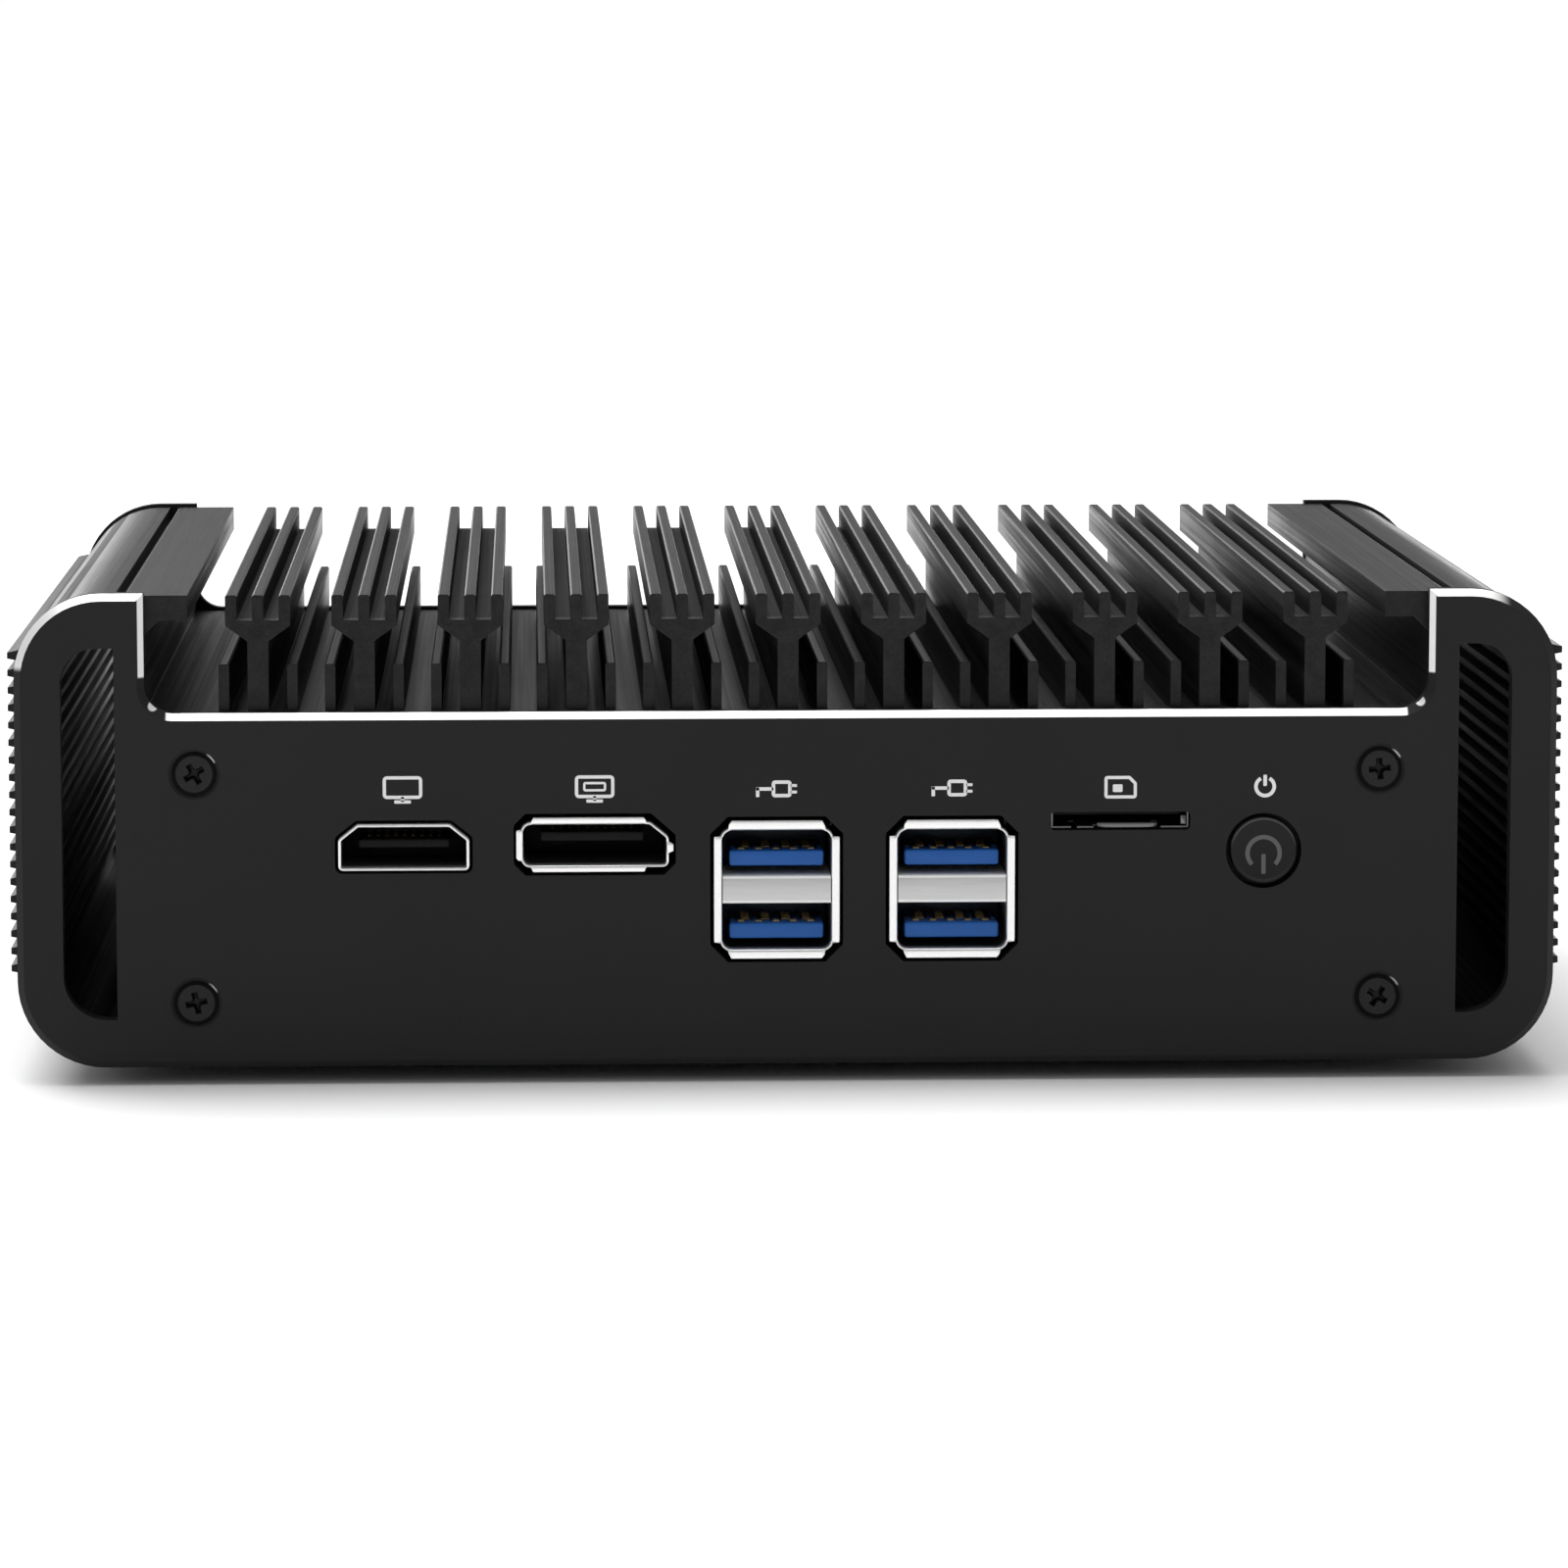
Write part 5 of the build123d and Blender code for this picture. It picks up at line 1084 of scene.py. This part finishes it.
# ---- rear sockets
def make_lan_springs():
    """Shield springs of the network jacks: a leaf on each side of the window, bowed in towards the plug."""
    bow = np.linspace(0, np.pi, 16)
    leaf = spring_strip(np.column_stack([0.9 + 5.4 * bow / np.pi, 0.02 + 0.42 * np.sin(bow)]), 2.4)
    parts = []
    for node in LAN_NODES:
        low, high = cad_box(node)
        parts += [leaf.turned(90 * side).moved(side * 5.88, 0).facing("rear", middle_x(node), high[1], low[2] + 6.2)
                  for side in (-1, 1)]
    piece("lan_shield_springs", joined(parts), "bright_steel")


def make_lan_wires():
    """Eight gilt wires in each jack: out of the back wall, bent over, and sloping down to the front."""
    t = np.linspace(0, 1, 18)
    ring = arc(0.17, 0, 360, 9)[:-1]
    parts = []
    for node in LAN_NODES:
        low, high = cad_box(node)
        y = high[1] - 13.5 + 9.6 * t
        z = low[2] + 2.6 + 0.25 + 3.0 * (1 - smooth(0.0, 1.0, t)) * (1 - 0.25 * t)
        parts += [carried(ring, np.column_stack([np.full(18, middle_x(node) - 3.57 + 1.02 * i), y, z]), (1, 0, 0))
                  for i in range(8)]
    piece("lan_wires", joined(parts), "gilt", replaces=["lan_contacts"])


# ---- printed signs
def print_ring(corners, radius, line, thick):
    """A closed line of ink round an outline."""
    return walls(outline(corners, radius), box_corners(line / 2, thick / 2, 0, thick / 2))


def print_patches(thick, *boxes, radius=0.06):
    """Filled patches of ink, each a rectangle (half p, half q, p, q) with rounded corners."""
    return joined(block(outline(box_corners(*box), radius, 3), 0, thick, thick * 0.4, 2) for box in boxes)


def monitor_sign(line, thick, double=False):
    """A screen on its foot, and with a second line inside it for the second video socket."""
    sign = print_ring(box_corners(1.75, 0.95, 0, 0.3), 0.25, line, thick)
    sign = sign + print_patches(thick, (line / 2, 0.25, 0, -0.85), (0.8, line / 2, 0, -1.1))
    return sign + print_ring(box_corners(1.0, 0.35, 0, 0.3), 0.12, line * 0.7, thick) if double else sign


def plug_sign(line, thick):
    """A plug seen from its side: two pins, a body and its cord."""
    body = print_ring(box_corners(0.75, 0.62, 0.45, 0), 0.15, line, thick)
    pins = print_patches(thick, (0.3, 0.13, 1.55, 0.3), (0.3, 0.13, 1.55, -0.3), radius=0.04)
    return body + pins + print_patches(thick, (0.8, line / 2, -1.1, 0), (line / 2, 0.45, -1.75, -0.3))


def card_sign(line, thick):
    """A card with a cut corner and its contact field."""
    corners = [(-1.5, -1.0), (1.5, -1.0), (1.5, 0.4), (0.9, 1.0), (-1.5, 1.0)]
    return print_ring(corners, 0.15, line, thick) + print_patches(thick, (0.5, 0.4, -0.3, -0.1), radius=0.12)


def network_sign(line, thick):
    """Three stations on one line, and a fourth over it."""
    half = line * 0.35
    stations = [print_ring(box_corners(0.42, 0.32, p, q), 0.08, line * 0.8, thick)
                for p, q in ((0, 0.85), (-1.35, -0.85), (0, -0.85), (1.35, -0.85))]
    drops = [(half, 0.3, p, -0.25) for p in (-1.35, 0, 1.35)]
    return joined(stations) + print_patches(thick, *drops, (1.45, half, 0, 0), (half, 0.3, 0, 0.25), radius=0.03)


def direct_current_sign(line, thick):
    """A line over three dashes."""
    dashes = [(0.36, line / 2, p, -0.35) for p in (-1.14, 0, 1.14)]
    return print_patches(thick, (1.5, line / 2, 0, 0.35), *dashes)


def polarity_sign(line, thick):
    """A dot in an open ring, between a ring with a plus on its right and one with a minus on its left."""
    half, fine = line * 0.35, line * 0.3
    sign = lathe([(0, thick), (0.35, thick), (0.35, 0), (0, 0)], 24)
    sign = sign + print_patches(thick, (1.3, half, 1.6, 0), (1.1, half, -1.9, 0), radius=0.03)
    for p, radius, gap in ((0, 0.85, 40), (3.55, 0.65, 0), (-3.6, 0.65, 0)):
        sign = sign + ink_line(arc(radius, gap, 360 - gap, 40, (p, 0)), half, 0, thick)
    plus_and_minus = ((0.32, fine, 3.55, 0), (fine, 0.32, 3.55, 0), (0.32, fine, -3.6, 0))
    return sign + print_patches(thick, *plus_and_minus, radius=0.03)


def make_prints(sizes):
    """White printed signs over the sockets of both plates."""
    line, thick, z = sizes.line / MM, sizes.thick / MM, sizes.above / MM
    front = [
        (monitor_sign(line, thick).grown(1.18), middle_x("hdmi_shell") - 0.1),
        (monitor_sign(line, thick, True).grown(1.18), middle_x("displayport_insert")),
        (plug_sign(line, thick).grown(1.25), middle_x("usb_left_insert")),
        (plug_sign(line, thick).grown(1.25), middle_x("usb_right_insert")),
        (card_sign(line, thick).grown(1.12), middle_x("sim_socket_shell")),
        (power_sign(1.05, line * 1.3, 0, thick), BUTTON_X + 0.1)]
    piece("front_prints", joined(sign.facing("front", x, FRONT_FACE, z) for sign, x in front), "ink")
    jack = middle_x("dc_jack_body")
    rear = [(network_sign(line, thick), middle_x(node), z) for node in LAN_NODES]
    rear.append((direct_current_sign(line, thick), jack, z))
    rear.append((polarity_sign(line, thick), jack, cad_box("dc_jack_body")[0][2] - 3.0))
    piece("rear_prints", joined(sign.facing("rear", x, REAR_FACE, height) for sign, x, height in rear), "ink")


# ---- stage
EYE = (-29.4, -745.0, 128.4)
AIM = (0.0387, 1.0, -0.1261)
LENS = 151.0
SENSOR = 36.0
FLOOR_HALF = 60.0


def make_floor(light):
    """A flat floor that reaches past the horizon's edge of the view."""
    spread = np.linspace(-FLOOR_HALF, FLOOR_HALF, 3)
    x, y = np.meshgrid(spread, spread, indexing="ij")
    surface = grid(np.stack([x, y, np.zeros_like(x)], axis=-1), wrap_v=False)
    mesh = bpy.data.meshes.new("floor")
    mesh.from_pydata(surface.points.tolist(), [], surface.quads.tolist())
    if mesh.polygons[0].normal.z < 0:
        mesh.flip_normals()
    mesh.materials.append(floor_finish(light))
    floor = bpy.data.objects.new("floor", mesh)
    bpy.context.scene.collection.objects.link(floor)


def add_lamp(name, lamp, place, aim):
    """Puts a lamp at a place and turns it to look at a point."""
    made = bpy.data.objects.new(name, lamp)
    made.location = place
    made.rotation_euler = (Vector(aim) - Vector(place)).to_track_quat("-Z", "Y").to_euler()
    bpy.context.scene.collection.objects.link(made)


def soft_light(name, place, aim, size, power):
    """A square softbox that looks at a point."""
    lamp = bpy.data.lights.new(name, "AREA")
    lamp.shape = "SQUARE"
    lamp.size = size
    lamp.energy = power
    add_lamp(name, lamp, place, aim)


def make_stage(scene):
    """Floor, lights, sky and camera."""
    light = scene.minipc_light
    make_floor(light)
    wide = bpy.data.lights.new("wide_light", "SUN")
    wide.energy = light.wide
    wide.angle = np.radians(50)
    add_lamp("wide_light", wide, (-0.5, 0.7, 2.0), (0, 0, 0))
    soft_light("top_softbox", (0.0, 0.1, 1.2), (0, 0, 0.05), 1.2, light.top)
    soft_light("rim_softbox", (-0.75, 1.7, 0.62), (0, 0, 0.05), 0.8, light.rim)
    soft_light("low_softbox", (0.78, 3.2, 0.18), (0.08, 0, 0.05), 0.3, light.low)
    world = bpy.data.worlds.new("studio_sky")
    world.use_nodes = True
    sky = world.node_tree.nodes["Background"]
    sky.inputs["Color"].default_value = (1.0, 1.0, 1.0, 1.0)
    sky.inputs["Strength"].default_value = light.sky
    scene.world = world
    scene.view_settings.view_transform = "Standard"
    lens = bpy.data.cameras.new("camera")
    lens.lens = LENS
    lens.sensor_width = SENSOR
    lens.clip_start = 0.01
    camera = bpy.data.objects.new("camera", lens)
    camera.location = (EYE[0] * MM, (FRONT_FACE + EYE[1]) * MM, EYE[2] * MM)
    camera.rotation_euler = Vector(AIM).to_track_quat("-Z", "Y").to_euler()
    scene.collection.objects.link(camera)
    scene.camera = camera


# ---- operators
class MINIPC_OT_finishes(bpy.types.Operator):
    """Makes every finish and puts it on the pieces that come from the CAD model"""

    bl_idname = "minipc.finishes"
    bl_label = "Finishes"

    def execute(self, context):
        FINISHES.update(make_materials(context.scene))
        for name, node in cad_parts.items():
            node.data.materials.clear()
            node.data.materials.append(FINISHES[finish_of(name)])
        return {"FINISHED"}


class MINIPC_OT_screws(bpy.types.Operator):
    """Screws of the plates and the bottom cover"""

    bl_idname = "minipc.screws"
    bl_label = "Screws"

    def execute(self, context):
        make_screws()
        return {"FINISHED"}


class MINIPC_OT_feet(bpy.types.Operator):
    """Rubber feet"""

    bl_idname = "minipc.feet"
    bl_label = "Feet"

    def execute(self, context):
        make_feet()
        return {"FINISHED"}


class MINIPC_OT_button(bpy.types.Operator):
    """Power button and its sign"""

    bl_idname = "minipc.button"
    bl_label = "Power button"

    def execute(self, context):
        make_button()
        return {"FINISHED"}


class MINIPC_OT_double_sockets(bpy.types.Operator):
    """Cans, mouldings and springs of the double sockets"""

    bl_idname = "minipc.double_sockets"
    bl_label = "Double sockets"

    def execute(self, context):
        sizes = context.scene.minipc_sockets
        make_double_cans(sizes.sheet / MM, sizes.lip / MM)
        make_double_mouldings()
        make_double_springs()
        return {"FINISHED"}


class MINIPC_OT_video_sockets(bpy.types.Operator):
    """Shells, mouldings and springs of the video sockets"""

    bl_idname = "minipc.video_sockets"
    bl_label = "Video sockets"

    def execute(self, context):
        sizes = context.scene.minipc_sockets
        make_video_shells(sizes.sheet / MM, sizes.lip / MM)
        make_video_mouldings()
        return {"FINISHED"}


class MINIPC_OT_card_slot(bpy.types.Operator):
    """Rolled lip and ear of the card slot"""

    bl_idname = "minipc.card_slot"
    bl_label = "Card slot"

    def execute(self, context):
        make_card_slot_lip()
        return {"FINISHED"}


class MINIPC_OT_rear(bpy.types.Operator):
    """Springs and wires of the network jacks, and the blanking plugs"""

    bl_idname = "minipc.rear"
    bl_label = "Rear sockets"

    def execute(self, context):
        make_lan_springs()
        make_lan_wires()
        make_blanking_plugs()
        return {"FINISHED"}


class MINIPC_OT_prints(bpy.types.Operator):
    """Printed signs of both plates"""

    bl_idname = "minipc.prints"
    bl_label = "Printed signs"

    def execute(self, context):
        make_prints(context.scene.minipc_prints)
        return {"FINISHED"}


class MINIPC_OT_stage(bpy.types.Operator):
    """Floor, lights and camera"""

    bl_idname = "minipc.stage"
    bl_label = "Stage"

    def execute(self, context):
        make_stage(context.scene)
        return {"FINISHED"}


OPERATORS = (
    MINIPC_OT_finishes, MINIPC_OT_screws, MINIPC_OT_feet, MINIPC_OT_button, MINIPC_OT_double_sockets,
    MINIPC_OT_video_sockets, MINIPC_OT_card_slot, MINIPC_OT_rear, MINIPC_OT_prints, MINIPC_OT_stage,
)
GROUPS = {
    "minipc_case": CaseFinishes, "minipc_sockets": SocketSizes, "minipc_prints": PrintSizes,
    "minipc_light": StageLight,
}


class MINIPC_PT_panel(bpy.types.Panel):
    """Lists the settings and the steps"""

    bl_idname = "MINIPC_PT_panel"
    bl_label = "Mini PC"
    bl_space_type = "VIEW_3D"
    bl_region_type = "UI"
    bl_category = "Mini PC"

    def draw(self, context):
        layout = self.layout
        for name, group in GROUPS.items():
            settings = getattr(context.scene, name)
            box = layout.box()
            for field in group.__annotations__:
                box.prop(settings, field)
        for operator in OPERATORS:
            layout.operator(operator.bl_idname)


def register():
    """Registers the classes and hangs the settings on the scene."""
    for cls in (*GROUPS.values(), *OPERATORS, MINIPC_PT_panel):
        bpy.utils.register_class(cls)
    for name, group in GROUPS.items():
        setattr(bpy.types.Scene, name, PointerProperty(type=group))


def unregister():
    """Takes them off again."""
    for name in GROUPS:
        delattr(bpy.types.Scene, name)
    for cls in (MINIPC_PT_panel, *reversed(OPERATORS), *reversed(list(GROUPS.values()))):
        bpy.utils.unregister_class(cls)


def main():
    """Registers the add-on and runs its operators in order."""
    register()
    for operator in OPERATORS:
        group, step = operator.bl_idname.split(".")
        getattr(getattr(bpy.ops, group), step)()


if __name__ == "__main__":
    main()
